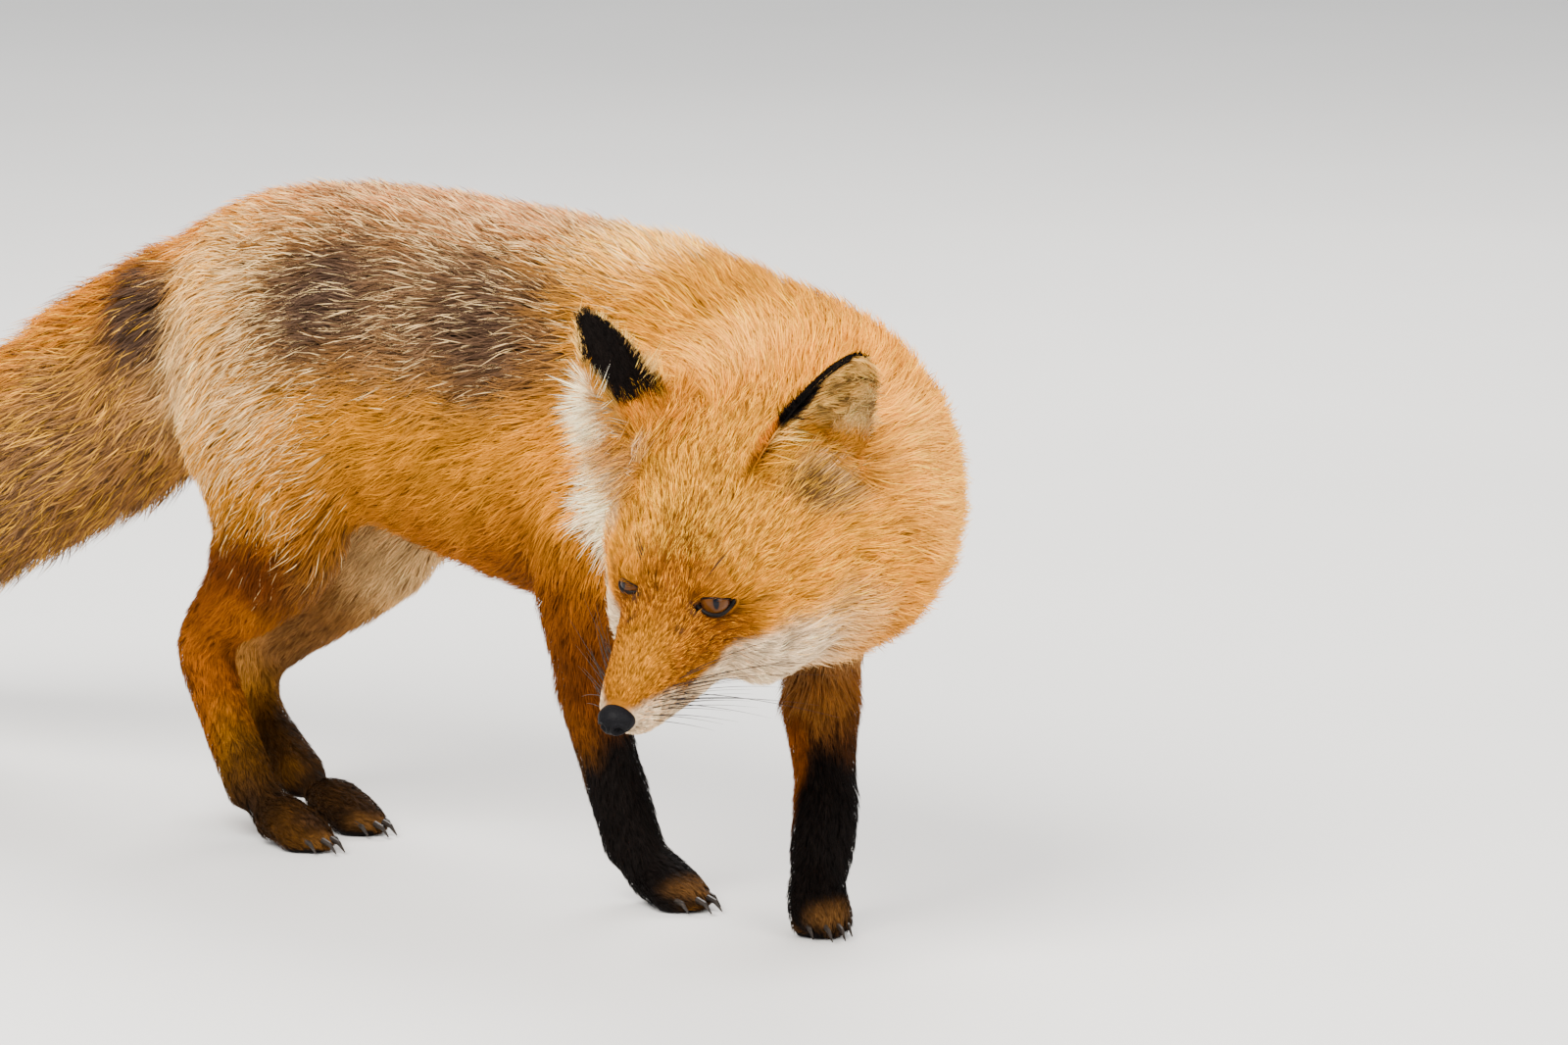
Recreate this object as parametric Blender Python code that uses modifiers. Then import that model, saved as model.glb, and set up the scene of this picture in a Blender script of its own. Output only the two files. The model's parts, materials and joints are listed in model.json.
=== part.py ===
"""A red fox standing still, life size, with its head turned down to its right.

Metres, +Z up. The trunk heads along +X and the animal's right side faces -Y. Every
solid reaches out to the tips of the winter coat. The flesh is modelled as one closed
body, which thin cuts then part into head, neck, trunk, tail and legs. Eyes, ears,
nose leather and claws are solids of their own, each with a hair's breadth of gap.
"""

import math
from dataclasses import dataclass, replace

import bmesh
import bpy
from mathutils import Matrix, Vector
from mathutils.bvhtree import BVHTree

# ------------------------------------------------------------------ driving sizes
GAP = 0.0004              # width of the cuts between neighbouring solids
VOXEL = 0.0034            # grain of the body before it is thinned out
SMOOTHING = 14            # rounds of smoothing where shells join
BODY_TRIANGLES = 4850     # faces kept on the body, head included
RING_SIDES = 28           # corners of one cross-section

HEAD_PITCH = 27.0         # the skull points this far below level, in degrees
HEAD_YAW = -74.3          # and this far round from +X, towards the right side
HEAD_ROLL = -9.0          # and leans this far over to the left
NOSE_TIP = Vector((0.2723, -0.2085, 0.1530))

EAR_WIDTH = 0.065
EAR_ROOT = 0.024          # how deep its root sits in the fur
EAR_THICK = 0.0065
EAR_CUP = 0.020           # how far the ear's middle lies behind its edges

EYE_RADIUS = 0.0086
EYE_BACK = 0.0794         # behind the nose tip, along the skull
EYE_APART = 0.0218        # each eye's centre from the middle of the head
EYE_LIFT = 0.0215         # above the nose tip

CLAW_LENGTH = 0.011
CLAW_RADIUS = 0.0018
TOE_RADIUS = 0.0092
PAW_SINK = 0.0030         # how far the pads are pressed flat by the floor


@dataclass(frozen=True)
class Ring:
    """One cross-section: its centre and its half sizes across the path."""

    x: float
    y: float
    z: float
    side: float
    top: float
    bottom: float

    def values(self) -> tuple:
        """Give the six numbers in order."""
        return (self.x, self.y, self.z, self.side, self.top, self.bottom)


@dataclass(frozen=True)
class Paw:
    """Where a paw stands, which way it points and how steeply its toes drop."""

    name: str
    heel: Vector
    yaw: float
    length: float
    drop: float
    width: float


@dataclass(frozen=True)
class Ear:
    """One ear.

    Attributes:
        name: Name of its solid.
        sign: 1 on the animal's left, -1 on its right.
        apart: From the middle of the head to the middle of its base.
        height: From the crown to its tip.
        lean: How far it leans outward, against 0.9 upward.
        turn: How far its opening is turned outward from straight ahead, in degrees.
    """

    name: str
    sign: int
    apart: float
    height: float
    lean: float
    turn: float


# ------------------------------------------------------------ cross-sections
# x, y, z of the centre, then half width, half height above and below it.
TRUNK = (
    Ring(-0.242, 0.000, 0.268, 0.048, 0.071, 0.058),
    Ring(-0.205, 0.000, 0.268, 0.063, 0.088, 0.080),
    Ring(-0.155, 0.000, 0.268, 0.073, 0.096, 0.088),
    Ring(-0.095, 0.000, 0.268, 0.077, 0.100, 0.088),
    Ring(-0.030, 0.000, 0.264, 0.078, 0.103, 0.096),
    Ring(0.035, 0.000, 0.260, 0.080, 0.104, 0.104),
    Ring(0.095, 0.000, 0.255, 0.080, 0.103, 0.104),
    Ring(0.150, 0.000, 0.250, 0.074, 0.100, 0.092),
    Ring(0.195, 0.000, 0.245, 0.058, 0.075, 0.068),
)
NECK = (
    Ring(0.090, 0.000, 0.260, 0.076, 0.088, 0.080),
    Ring(0.150, 0.004, 0.256, 0.082, 0.090, 0.086),
    Ring(0.200, -0.002, 0.245, 0.086, 0.087, 0.088),
    Ring(0.234, -0.030, 0.233, 0.084, 0.078, 0.084),
    Ring(0.240, -0.066, 0.226, 0.074, 0.068, 0.072),
    Ring(0.238, -0.092, 0.222, 0.058, 0.052, 0.056),
)
TAIL = (
    Ring(-0.205, 0.000, 0.282, 0.040, 0.042, 0.046),
    Ring(-0.255, 0.000, 0.262, 0.051, 0.062, 0.066),
    Ring(-0.315, 0.000, 0.232, 0.057, 0.062, 0.068),
    Ring(-0.380, 0.000, 0.196, 0.058, 0.060, 0.062),
    Ring(-0.445, 0.000, 0.162, 0.054, 0.056, 0.056),
    Ring(-0.505, 0.000, 0.134, 0.047, 0.048, 0.048),
    Ring(-0.560, 0.000, 0.113, 0.034, 0.035, 0.035),
    Ring(-0.600, 0.000, 0.101, 0.014, 0.014, 0.014),
)
# For a leg the ring's top is its front and the path runs downwards.
FORE_RIGHT = (
    Ring(0.118, -0.044, 0.250, 0.034, 0.060, 0.056),
    Ring(0.112, -0.054, 0.205, 0.030, 0.050, 0.050),
    Ring(0.100, -0.054, 0.168, 0.024, 0.030, 0.034),
    Ring(0.092, -0.044, 0.125, 0.019, 0.021, 0.023),
    Ring(0.090, -0.031, 0.085, 0.0165, 0.0175, 0.0185),
    Ring(0.091, -0.021, 0.056, 0.0165, 0.0175, 0.0175),
    Ring(0.094, -0.013, 0.026, 0.0165, 0.0165, 0.0165),
)
FORE_LEFT = (
    Ring(0.150, 0.044, 0.250, 0.034, 0.050, 0.056),
    Ring(0.168, 0.050, 0.205, 0.030, 0.042, 0.046),
    Ring(0.182, 0.040, 0.168, 0.027, 0.030, 0.037),
    Ring(0.192, 0.029, 0.125, 0.022, 0.022, 0.027),
    Ring(0.203, 0.020, 0.085, 0.0170, 0.0180, 0.0190),
    Ring(0.209, 0.014, 0.058, 0.0180, 0.0185, 0.0180),
    Ring(0.210, 0.008, 0.032, 0.0175, 0.0175, 0.0165),
)
HIND_RIGHT = (
    Ring(-0.150, -0.038, 0.280, 0.036, 0.066, 0.070),
    Ring(-0.148, -0.050, 0.222, 0.033, 0.070, 0.066),
    Ring(-0.150, -0.053, 0.180, 0.028, 0.056, 0.042),
    Ring(-0.176, -0.051, 0.146, 0.021, 0.036, 0.018),
    Ring(-0.201, -0.048, 0.122, 0.0165, 0.024, 0.0145),
    Ring(-0.211, -0.046, 0.100, 0.0155, 0.0185, 0.0165),
    Ring(-0.195, -0.045, 0.064, 0.0145, 0.0150, 0.0150),
    Ring(-0.172, -0.045, 0.024, 0.0155, 0.0155, 0.0150),
)
HIND_LEFT = (
    Ring(-0.158, 0.038, 0.280, 0.036, 0.066, 0.070),
    Ring(-0.158, 0.046, 0.222, 0.033, 0.068, 0.064),
    Ring(-0.168, 0.042, 0.172, 0.028, 0.056, 0.044),
    Ring(-0.208, 0.032, 0.124, 0.021, 0.034, 0.022),
    Ring(-0.238, 0.024, 0.094, 0.0165, 0.023, 0.015),
    Ring(-0.246, 0.020, 0.075, 0.0155, 0.0185, 0.0165),
    Ring(-0.228, 0.014, 0.050, 0.0145, 0.0150, 0.0150),
    Ring(-0.188, 0.007, 0.023, 0.0155, 0.0155, 0.0150),
)
# Along the skull, in its own axes: back from the nose tip, 0, up; then half sizes.
SKULL = (
    Ring(-0.172, 0.000, 0.002, 0.060, 0.050, 0.047),
    Ring(-0.148, 0.000, 0.002, 0.068, 0.055, 0.052),
    Ring(-0.122, 0.000, 0.004, 0.065, 0.051, 0.049),
    Ring(-0.098, 0.000, 0.004, 0.050, 0.041, 0.042),
    Ring(-0.078, 0.000, 0.002, 0.0325, 0.0295, 0.0330),
    Ring(-0.058, 0.000, 0.000, 0.0255, 0.0230, 0.0250),
    Ring(-0.036, 0.000, -0.004, 0.0200, 0.0190, 0.0190),
    Ring(-0.018, 0.000, -0.006, 0.0163, 0.0150, 0.0150),
    Ring(-0.006, 0.000, -0.007, 0.0115, 0.0095, 0.0090),
)

PAWS = (
    Paw("fore_right", Vector((0.091, -0.010, 0.0)), 0.0, 0.056, 18.0, 0.040),
    Paw("fore_left", Vector((0.205, 0.004, 0.0)), -25.0, 0.042, 48.0, 0.038),
    Paw("hind_right", Vector((-0.168, -0.045, 0.0)), 0.0, 0.060, 16.0, 0.036),
    Paw("hind_left", Vector((-0.180, 0.006, 0.0)), 0.0, 0.060, 16.0, 0.036),
)
EARS = (
    Ear("ear_right", -1, apart=0.056, height=0.072, lean=0.39, turn=86.0),
    Ear("ear_left", 1, apart=0.041, height=0.084, lean=0.41, turn=52.0),
)


# ------------------------------------------------------------------ scene tools
def clear_scene() -> None:
    """Remove everything that the new scene brought with it."""
    for item in list(bpy.data.objects):
        bpy.data.objects.remove(item, do_unlink=True)


def make_collection(name: str, hidden: bool = False) -> bpy.types.Collection:
    """Make a collection and link it to the scene."""
    collection = bpy.data.collections.new(name)
    bpy.context.scene.collection.children.link(collection)
    collection.hide_render = hidden
    return collection


def make_material(name: str, color: tuple, roughness: float) -> bpy.types.Material:
    """Make a Principled material of one colour."""
    material = bpy.data.materials.new(name)
    material.use_nodes = True
    material.diffuse_color = (*color, 1.0)
    shader = material.node_tree.nodes["Principled BSDF"]
    shader.inputs["Base Color"].default_value = (*color, 1.0)
    shader.inputs["Roughness"].default_value = roughness
    shader.inputs["Metallic"].default_value = 0.0
    return material


def make_object(name: str, bm: bmesh.types.BMesh) -> bpy.types.Object:
    """Turn a bmesh into a linked object, with its faces outward."""
    bmesh.ops.recalc_face_normals(bm, faces=bm.faces[:])
    mesh = bpy.data.meshes.new(name)
    bm.to_mesh(mesh)
    bm.free()
    obj = bpy.data.objects.new(name, mesh)
    bpy.context.scene.collection.objects.link(obj)
    return obj


def apply_modifiers(obj: bpy.types.Object) -> None:
    """Replace the mesh by what its modifiers make of it."""
    graph = bpy.context.evaluated_depsgraph_get()
    graph.update()
    mesh = bpy.data.meshes.new_from_object(obj.evaluated_get(graph))
    obj.modifiers.clear()
    obj.data = mesh


def cut(obj: bpy.types.Object, tool: bpy.types.Object, operation: str) -> None:
    """Combine two solids exactly and drop the tool."""
    modifier = obj.modifiers.new("cut", "BOOLEAN")
    modifier.operation = operation
    modifier.solver = "EXACT"
    modifier.object = tool
    apply_modifiers(obj)
    bpy.data.objects.remove(tool, do_unlink=True)


def grown(obj: bpy.types.Object, by: float) -> bpy.types.Object:
    """Copy a solid with its surface moved outward."""
    bm = bmesh.new()
    bm.from_mesh(obj.data)
    bm.normal_update()
    moves = [(vert, vert.normal * by) for vert in bm.verts]
    for vert, move in moves:
        vert.co += move
    return make_object(obj.name + "_grown", bm)


def join_closed(name: str, parts: list) -> bpy.types.Object:
    """Gather closed shells in one mesh and drop the single ones."""
    bm = bmesh.new()
    for part in parts:
        bm.from_mesh(part.data)
    for part in parts:
        bpy.data.objects.remove(part, do_unlink=True)
    return make_object(name, bm)


# ------------------------------------------------------------------ shape tools
def spline(values: list, place: float) -> list:
    """Run a smooth curve through rows of numbers.

    Args:
        values: The rows, one for each station.
        place: Where to read, counted in stations from the first.

    Returns:
        The row of numbers there.
    """
    index = min(int(place), len(values) - 2)
    t = place - index
    before = values[max(index - 1, 0)]
    start = values[index]
    end = values[index + 1]
    after = values[min(index + 2, len(values) - 1)]
    row = []
    for p0, p1, p2, p3 in zip(before, start, end, after):
        slope_in = (p2 - p0) / 2
        slope_out = (p3 - p1) / 2
        bend = 3 * (p2 - p1) - 2 * slope_in - slope_out
        twist = slope_in + slope_out - 2 * (p2 - p1)
        row.append(p1 + slope_in * t + bend * t * t + twist * t * t * t)
    return row


def ring_corner(side: float, top: float, bottom: float, angle: float, square: float) -> tuple:
    """Place one corner of a cross-section, measured across and up."""
    across = math.cos(angle)
    rise = math.sin(angle)
    across = math.copysign(abs(across) ** (2.0 / square), across)
    rise = math.copysign(abs(rise) ** (2.0 / square), rise)
    height = top if rise > 0 else bottom
    return side * across, height * rise


def loft(
    name: str,
    rings: tuple,
    side_axis: Vector = Vector((0, 1, 0)),
    steps: int = 5,
    square: float = 2.15,
    cap: float = 0.7,
) -> bpy.types.Object:
    """Draw a closed tube through cross-sections, with domed ends.

    Args:
        name: Name of the new object.
        rings: Cross-sections along the path.
        side_axis: The direction in which a ring's half width is measured.
        steps: Rings drawn between two stations.
        square: 2 for an ellipse, more for a boxier section.
        cap: Length of the end domes against the end ring's mean half size.

    Returns:
        The closed tube.
    """
    rows = [ring.values() for ring in rings]
    count = (len(rows) - 1) * steps
    places = [index / steps for index in range(count + 1)]
    path = [Vector(spline(rows, place)[:3]) for place in places]
    sections = []
    for index, place in enumerate(places):
        back = path[max(index - 1, 0)]
        front = path[min(index + 1, count)]
        tangent = (front - back).normalized()
        sections.append((path[index], tangent, spline(rows, place)[3:]))
    dome = (0.95, 0.8, 0.55, 0.25)

    def end_dome(section: tuple, sign: float) -> tuple:
        """Round off one end: its shrinking rings and the tip beyond them."""
        centre, tangent, sizes = section
        reach = cap * sum(sizes) / 3
        rounds = []
        for scale in dome:
            out = math.sqrt(1.0 - scale * scale)
            middle = centre + tangent * (sign * reach * out)
            rounds.append((middle, tangent, [size * scale for size in sizes]))
        tip = centre + tangent * (sign * reach)
        return rounds, tip

    start, start_tip = end_dome(sections[0], -1.0)
    finish, finish_tip = end_dome(sections[-1], 1.0)
    sections = start[::-1] + sections + finish

    bm = bmesh.new()
    loops = []
    for centre, tangent, (side, top, bottom) in sections:
        side_dir = (side_axis - tangent * side_axis.dot(tangent)).normalized()
        up_dir = tangent.cross(side_dir)
        corners = []
        for step in range(RING_SIDES):
            angle = math.tau * step / RING_SIDES
            across, rise = ring_corner(side, top, bottom, angle, square)
            corners.append(bm.verts.new(centre + side_dir * across + up_dir * rise))
        loops.append(corners)
    for low, high in zip(loops, loops[1:]):
        for step in range(RING_SIDES):
            after = (step + 1) % RING_SIDES
            bm.faces.new((low[step], low[after], high[after], high[step]))
    for corners, tip in ((loops[0], start_tip), (loops[-1], finish_tip)):
        pole = bm.verts.new(tip)
        for step in range(RING_SIDES):
            bm.faces.new((corners[step], corners[(step + 1) % RING_SIDES], pole))
    return make_object(name, bm)


def ball(name: str, centre: Vector, sizes: tuple, turn: Matrix, segments: int = 20) -> bpy.types.Object:
    """Make a ball stretched along three axes."""
    bm = bmesh.new()
    bmesh.ops.create_uvsphere(bm, u_segments=segments, v_segments=segments // 2 + 2, radius=1.0)
    frame = Matrix.Translation(centre) @ turn.to_4x4() @ Matrix.Diagonal((*sizes, 1.0))
    bmesh.ops.transform(bm, matrix=frame, verts=bm.verts[:])
    return make_object(name, bm)


def box(name: str, centre: Vector, sizes: tuple, turn: Matrix) -> bpy.types.Object:
    """Make a box of full sizes, turned about its centre."""
    bm = bmesh.new()
    bmesh.ops.create_cube(bm, size=1.0)
    frame = Matrix.Translation(centre) @ turn.to_4x4() @ Matrix.Diagonal((*sizes, 1.0))
    bmesh.ops.transform(bm, matrix=frame, verts=bm.verts[:])
    return make_object(name, bm)


# ------------------------------------------------------------------------ head
def head_axes() -> Matrix:
    """Give the skull's axes: forward, left and up as columns."""
    yaw = Matrix.Rotation(math.radians(HEAD_YAW), 3, "Z")
    pitch = Matrix.Rotation(math.radians(HEAD_PITCH), 3, "Y")
    roll = Matrix.Rotation(math.radians(HEAD_ROLL), 3, "X")
    return yaw @ pitch @ roll


HEAD = head_axes()


def in_head(forward: float, left: float, up: float) -> Vector:
    """Turn a place in the skull's axes, from the nose tip, into a world place."""
    return NOSE_TIP + HEAD @ Vector((forward, left, up))


def head_ring(ring: Ring) -> Ring:
    """Move a cross-section from the skull's axes into the world."""
    place = in_head(ring.x, ring.y, ring.z)
    return replace(ring, x=place.x, y=place.y, z=place.z)


def build_head_shells() -> list:
    """Make the skull, cheeks, brow and lower jaw as overlapping shells."""
    left = HEAD.col[1]
    shells = [loft("skull", tuple(head_ring(ring) for ring in SKULL), side_axis=left, square=2.25)]
    jaw = (
        Ring(-0.095, 0.0, -0.024, 0.032, 0.016, 0.016),
        Ring(-0.064, 0.0, -0.0220, 0.022, 0.010, 0.014),
        Ring(-0.036, 0.0, -0.0200, 0.0155, 0.008, 0.0115),
        Ring(-0.019, 0.0, -0.0180, 0.0115, 0.006, 0.0090),
    )
    shells.append(loft("jaw", tuple(head_ring(ring) for ring in jaw), side_axis=left))
    for sign, side in ((1, "left"), (-1, "right")):
        cheek = ball(
            "cheek_" + side,
            in_head(-0.122, sign * 0.031, -0.018),
            (0.042, 0.030, 0.037),
            HEAD,
        )
        brow = ball(
            "brow_" + side,
            in_head(-0.087, sign * 0.0175, 0.0285),
            (0.020, 0.0125, 0.0095),
            HEAD,
        )
        ear_base = ball(
            "ear_base_" + side,
            in_head(-0.168, sign * 0.038, 0.036),
            (0.020, 0.021, 0.021),
            HEAD,
        )
        shells += [cheek, brow, ear_base]
    return shells


def ear_frame(ear: Ear) -> Matrix:
    """Give an ear's axes: across its leaf, out of its opening, and up to its tip."""
    turn = math.radians(ear.turn)
    up = (HEAD @ Vector((-0.036, ear.sign * ear.lean, 0.90))).normalized()
    opening = HEAD @ Vector((math.cos(turn), ear.sign * math.sin(turn), 0.0))
    opening = (opening - up * opening.dot(up)).normalized()
    across = opening.cross(up)
    frame = Matrix((across, opening, up)).transposed()
    base = in_head(-0.156, ear.sign * ear.apart, 0.058)
    return Matrix.Translation(base) @ frame.to_4x4()


def ear_ring(tall: float, t: float) -> list:
    """Walk round one cross-section of an ear, at a share of its height."""
    columns = 8
    half = 0.5 * EAR_WIDTH * max(1.0 - t ** 2.3, 0.0) ** 0.66
    height = (tall + EAR_ROOT) * t - EAR_ROOT
    line = []
    for face in (1.0, -1.0):
        for column in range(columns + 1):
            u = face * (2.0 * column / columns - 1.0)
            rim = max(1.0 - u * u, 0.0) ** 0.5
            cup = EAR_CUP * (1.0 - u * u) * (2.0 * half / EAR_WIDTH)
            thick = 0.5 * EAR_THICK * (0.35 + 0.65 * rim) * (1.0 - 0.45 * t)
            line.append(Vector((u * half, -cup + face * thick, height)))
    return line


def build_ear(ear: Ear) -> bpy.types.Object:
    """Make one ear as a cupped, tapering leaf."""
    frame = ear_frame(ear)
    bm = bmesh.new()
    loops = []
    for t in (0.0, 0.16, 0.32, 0.47, 0.61, 0.74, 0.85, 0.93, 0.98):
        loops.append([bm.verts.new(frame @ place) for place in ear_ring(ear.height, t)])
    for low, high in zip(loops, loops[1:]):
        for step in range(len(low)):
            after = (step + 1) % len(low)
            corners = (low[step], low[after], high[after], high[step])
            start = 0 if step < len(low) // 2 else 1  # both walls fold along the same diagonals
            bm.faces.new((corners[start], corners[start + 1], corners[start + 2]))
            bm.faces.new((corners[start], corners[start + 2], corners[start - 1]))
    for ring in (loops[0], loops[-1]):
        for step in range(len(ring) // 2 - 1):
            bm.faces.new((ring[step], ring[step + 1], ring[-2 - step], ring[-1 - step]))
    return make_object(ear.name, bm)


def build_nose() -> bpy.types.Object:
    """Make the nose leather as a broad rounded button."""
    return ball("nose", in_head(-0.0045, 0.0, -0.0055), (0.0085, 0.0098, 0.0078), HEAD, segments=14)


# ------------------------------------------------------------------------ paws
def paw_frame(paw: Paw) -> Matrix:
    """Give a paw's axes: along its toes, to its left and up, level with the floor."""
    pressed = paw.heel - Vector((0.0, 0.0, PAW_SINK))
    return Matrix.Translation(pressed) @ Matrix.Rotation(math.radians(paw.yaw), 4, "Z")


def toe_places(paw: Paw) -> list:
    """List each toe's root and tip in the paw's own axes, from right to left."""
    places = []
    for slot in (-1.5, -0.5, 0.5, 1.5):
        across = slot * (paw.width - 2 * TOE_RADIUS) / 3
        reach = paw.length - (0.009 if abs(slot) > 1 else 0.0)
        drop = math.sin(math.radians(paw.drop))
        tip = Vector((reach - TOE_RADIUS, across * 1.12, TOE_RADIUS * 0.80))
        root = Vector((reach * 0.30, across * 0.80, TOE_RADIUS * 0.95 + reach * 0.70 * drop))
        places.append((root, tip))
    return places


def build_paw_shells(paw: Paw) -> list:
    """Make the pad and the toes of a paw as overlapping shells."""
    frame = paw_frame(paw)
    turn = frame.to_3x3()
    steep = math.sin(math.radians(paw.drop))
    pad_place = frame @ Vector((paw.length * 0.30, 0.0, 0.012 + steep * 0.020))
    shells = [ball("pad", pad_place, (paw.length * 0.34, paw.width * 0.44, 0.0145), turn)]
    side = turn.col[1]
    for root, tip in toe_places(paw):
        start = frame @ root
        end = frame @ tip
        middle = (start + end) / 2 + Vector((0, 0, 0.0015))
        rings = (
            Ring(*start, TOE_RADIUS * 0.9, TOE_RADIUS * 0.9, TOE_RADIUS * 0.9),
            Ring(*middle, TOE_RADIUS, TOE_RADIUS * 1.05, TOE_RADIUS),
            Ring(*end, TOE_RADIUS * 0.86, TOE_RADIUS * 0.80, TOE_RADIUS * 0.86),
        )
        shells.append(loft("toe", rings, side_axis=side, steps=3))
    return shells


def build_claws(paw: Paw) -> list:
    """Make the four claws of a paw, each a small curved horn."""
    frame = paw_frame(paw)
    side = frame.to_3x3().col[1]
    claws = []
    for number, (root, tip) in enumerate(toe_places(paw), start=1):
        start = frame @ (tip + Vector((TOE_RADIUS * 0.35, 0.0, TOE_RADIUS * 0.35)))
        middle = frame @ (tip + Vector((TOE_RADIUS * 0.35 + CLAW_LENGTH * 0.55, 0.0, TOE_RADIUS * 0.20)))
        end = frame @ (tip + Vector((TOE_RADIUS * 0.35 + CLAW_LENGTH, 0.0, -TOE_RADIUS * 0.30)))
        rings = (
            Ring(*start, CLAW_RADIUS * 0.8, CLAW_RADIUS, CLAW_RADIUS),
            Ring(*middle, CLAW_RADIUS * 0.65, CLAW_RADIUS * 0.8, CLAW_RADIUS * 0.8),
            Ring(*end, CLAW_RADIUS * 0.2, CLAW_RADIUS * 0.2, CLAW_RADIUS * 0.2),
        )
        claw = small_loft(f"claw_{paw.name}_{number}", rings, side)
        claws.append(claw)
    return claws


def small_loft(name: str, rings: tuple, side_axis: Vector) -> bpy.types.Object:
    """Draw a small horn of few faces through three cross-sections."""
    sides = 6
    bm = bmesh.new()
    loops = []
    centres = [Vector(ring.values()[:3]) for ring in rings]
    for index, ring in enumerate(rings):
        back = centres[max(index - 1, 0)]
        front = centres[min(index + 1, len(rings) - 1)]
        tangent = (front - back).normalized()
        side_dir = (side_axis - tangent * side_axis.dot(tangent)).normalized()
        up_dir = tangent.cross(side_dir)
        corners = []
        for step in range(sides):
            angle = math.tau * step / sides
            offset = side_dir * (ring.side * math.cos(angle)) + up_dir * (ring.top * math.sin(angle))
            corners.append(bm.verts.new(centres[index] + offset))
        loops.append(corners)
    for low, high in zip(loops, loops[1:]):
        for step in range(sides):
            after = (step + 1) % sides
            bm.faces.new((low[step], low[after], high[after], high[step]))
    bm.faces.new(loops[0][::-1])
    bm.faces.new(loops[-1])
    return make_object(name, bm)


# ------------------------------------------------------------------------ body
def softness(place: Vector) -> float:
    """Tell how much the joins are smoothed here: little at the muzzle and paws."""
    muzzle = (place - in_head(-0.045, 0.0, 0.0)).length
    near_muzzle = min(max((muzzle - 0.045) / 0.04, 0.0), 1.0)
    near_floor = min(max((place.z - 0.02) / 0.08, 0.0), 1.0)
    return 0.22 + 0.78 * near_muzzle * near_floor


def detail_weight(place: Vector) -> float:
    """Tell how freely faces may be thinned out here: less on the head and paws."""
    if (place - in_head(-0.07, 0.0, 0.0)).length < 0.085:
        return 0.80
    if place.z < 0.05:
        return 0.85
    return 1.0


def build_body() -> bpy.types.Object:
    """Fuse every shell of flesh into one smooth closed body standing on the floor."""
    shells = [loft("trunk", TRUNK), loft("tail", TAIL, cap=0.8)]
    shells.append(loft("neck", NECK))
    for name, rings in (
        ("fore_right", FORE_RIGHT),
        ("fore_left", FORE_LEFT),
        ("hind_right", HIND_RIGHT),
        ("hind_left", HIND_LEFT),
    ):
        shells.append(loft("leg_" + name, rings, cap=0.4))
    for paw in PAWS:
        shells += build_paw_shells(paw)
    shells += build_head_shells()
    body = join_closed("body", shells)

    remesh = body.modifiers.new("fuse", "REMESH")
    remesh.mode = "VOXEL"
    remesh.voxel_size = VOXEL
    apply_modifiers(body)
    group = body.vertex_groups.new(name="soft")
    for vert in body.data.vertices:
        group.add([vert.index], softness(vert.co), "REPLACE")
    smooth = body.modifiers.new("smooth", "SMOOTH")
    smooth.factor = 0.5
    smooth.iterations = SMOOTHING
    smooth.vertex_group = "soft"
    apply_modifiers(body)
    body.vertex_groups.clear()

    group = body.vertex_groups.new(name="plain")
    for vert in body.data.vertices:
        group.add([vert.index], detail_weight(vert.co), "REPLACE")
    thin = body.modifiers.new("thin", "DECIMATE")
    faces = sum(len(polygon.vertices) - 2 for polygon in body.data.polygons)
    thin.ratio = BODY_TRIANGLES / faces
    thin.vertex_group = "plain"
    thin.vertex_group_factor = 0.02
    apply_modifiers(body)
    body.vertex_groups.clear()

    below = box("below_floor", Vector((0.0, 0.0, -0.1)), (2.0, 1.0, 0.2), Matrix.Identity(3))
    cut(body, below, "DIFFERENCE")
    return body


# ------------------------------------------------------------------------ cuts
@dataclass(frozen=True)
class Cut:
    """A thin slab that parts one node of flesh from the trunk.

    Attributes:
        node: Name of the node that it sets free.
        seed: A place well inside that node.
        place: The slab's centre.
        facing: The direction that the slab's thin side looks along.
        width: The slab's size across the body.
        height: The slab's size along the body's depth.
    """

    node: str
    seed: Vector
    place: Vector
    facing: Vector
    width: float
    height: float


TRUNK_SEED = Vector((0.0, 0.0, 0.26))
DOWN_BACK = Vector((-0.5, 0.0, -0.9))
CUTS = (
    Cut(
        "tail", Vector((-0.42, 0.0, 0.18)),
        Vector((-0.262, 0.0, 0.258)), Vector((-0.86, 0.0, -0.50)), 0.20, 0.20,
    ),
    Cut(
        "head", in_head(-0.09, 0.0, 0.0),
        in_head(-0.175, 0.0, 0.0), Vector((0.55, -0.80, 0.0)), 0.26, 0.28,
    ),
    Cut(
        "neck", Vector((0.238, -0.02, 0.24)),
        Vector((0.186, 0.0135, 0.262)), Vector((1.0, 0.0, 0.30)), 0.213, 0.250,
    ),
    Cut(
        "leg_fore_right", Vector((0.090, -0.030, 0.08)),
        Vector((0.100, -0.056, 0.150)), Vector((0.2, 0.0, -1.0)), 0.078, 0.11,
    ),
    Cut(
        "leg_fore_left", Vector((0.206, 0.016, 0.07)),
        Vector((0.190, 0.046, 0.148)), Vector((-0.1, 0.0, -1.0)), 0.078, 0.11,
    ),
    Cut(
        "leg_hind_right", Vector((-0.195, -0.045, 0.064)),
        Vector((-0.160, -0.060, 0.166)), DOWN_BACK, 0.110, 0.15,
    ),
    Cut(
        "leg_hind_left", Vector((-0.228, 0.014, 0.05)),
        Vector((-0.180, 0.056, 0.160)), DOWN_BACK, 0.104, 0.14,
    ),
)


def slab_turn(facing: Vector) -> Matrix:
    """Turn a slab so that its thin side looks along a direction."""
    return facing.normalized().to_track_quat("X", "Z").to_matrix()


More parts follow.
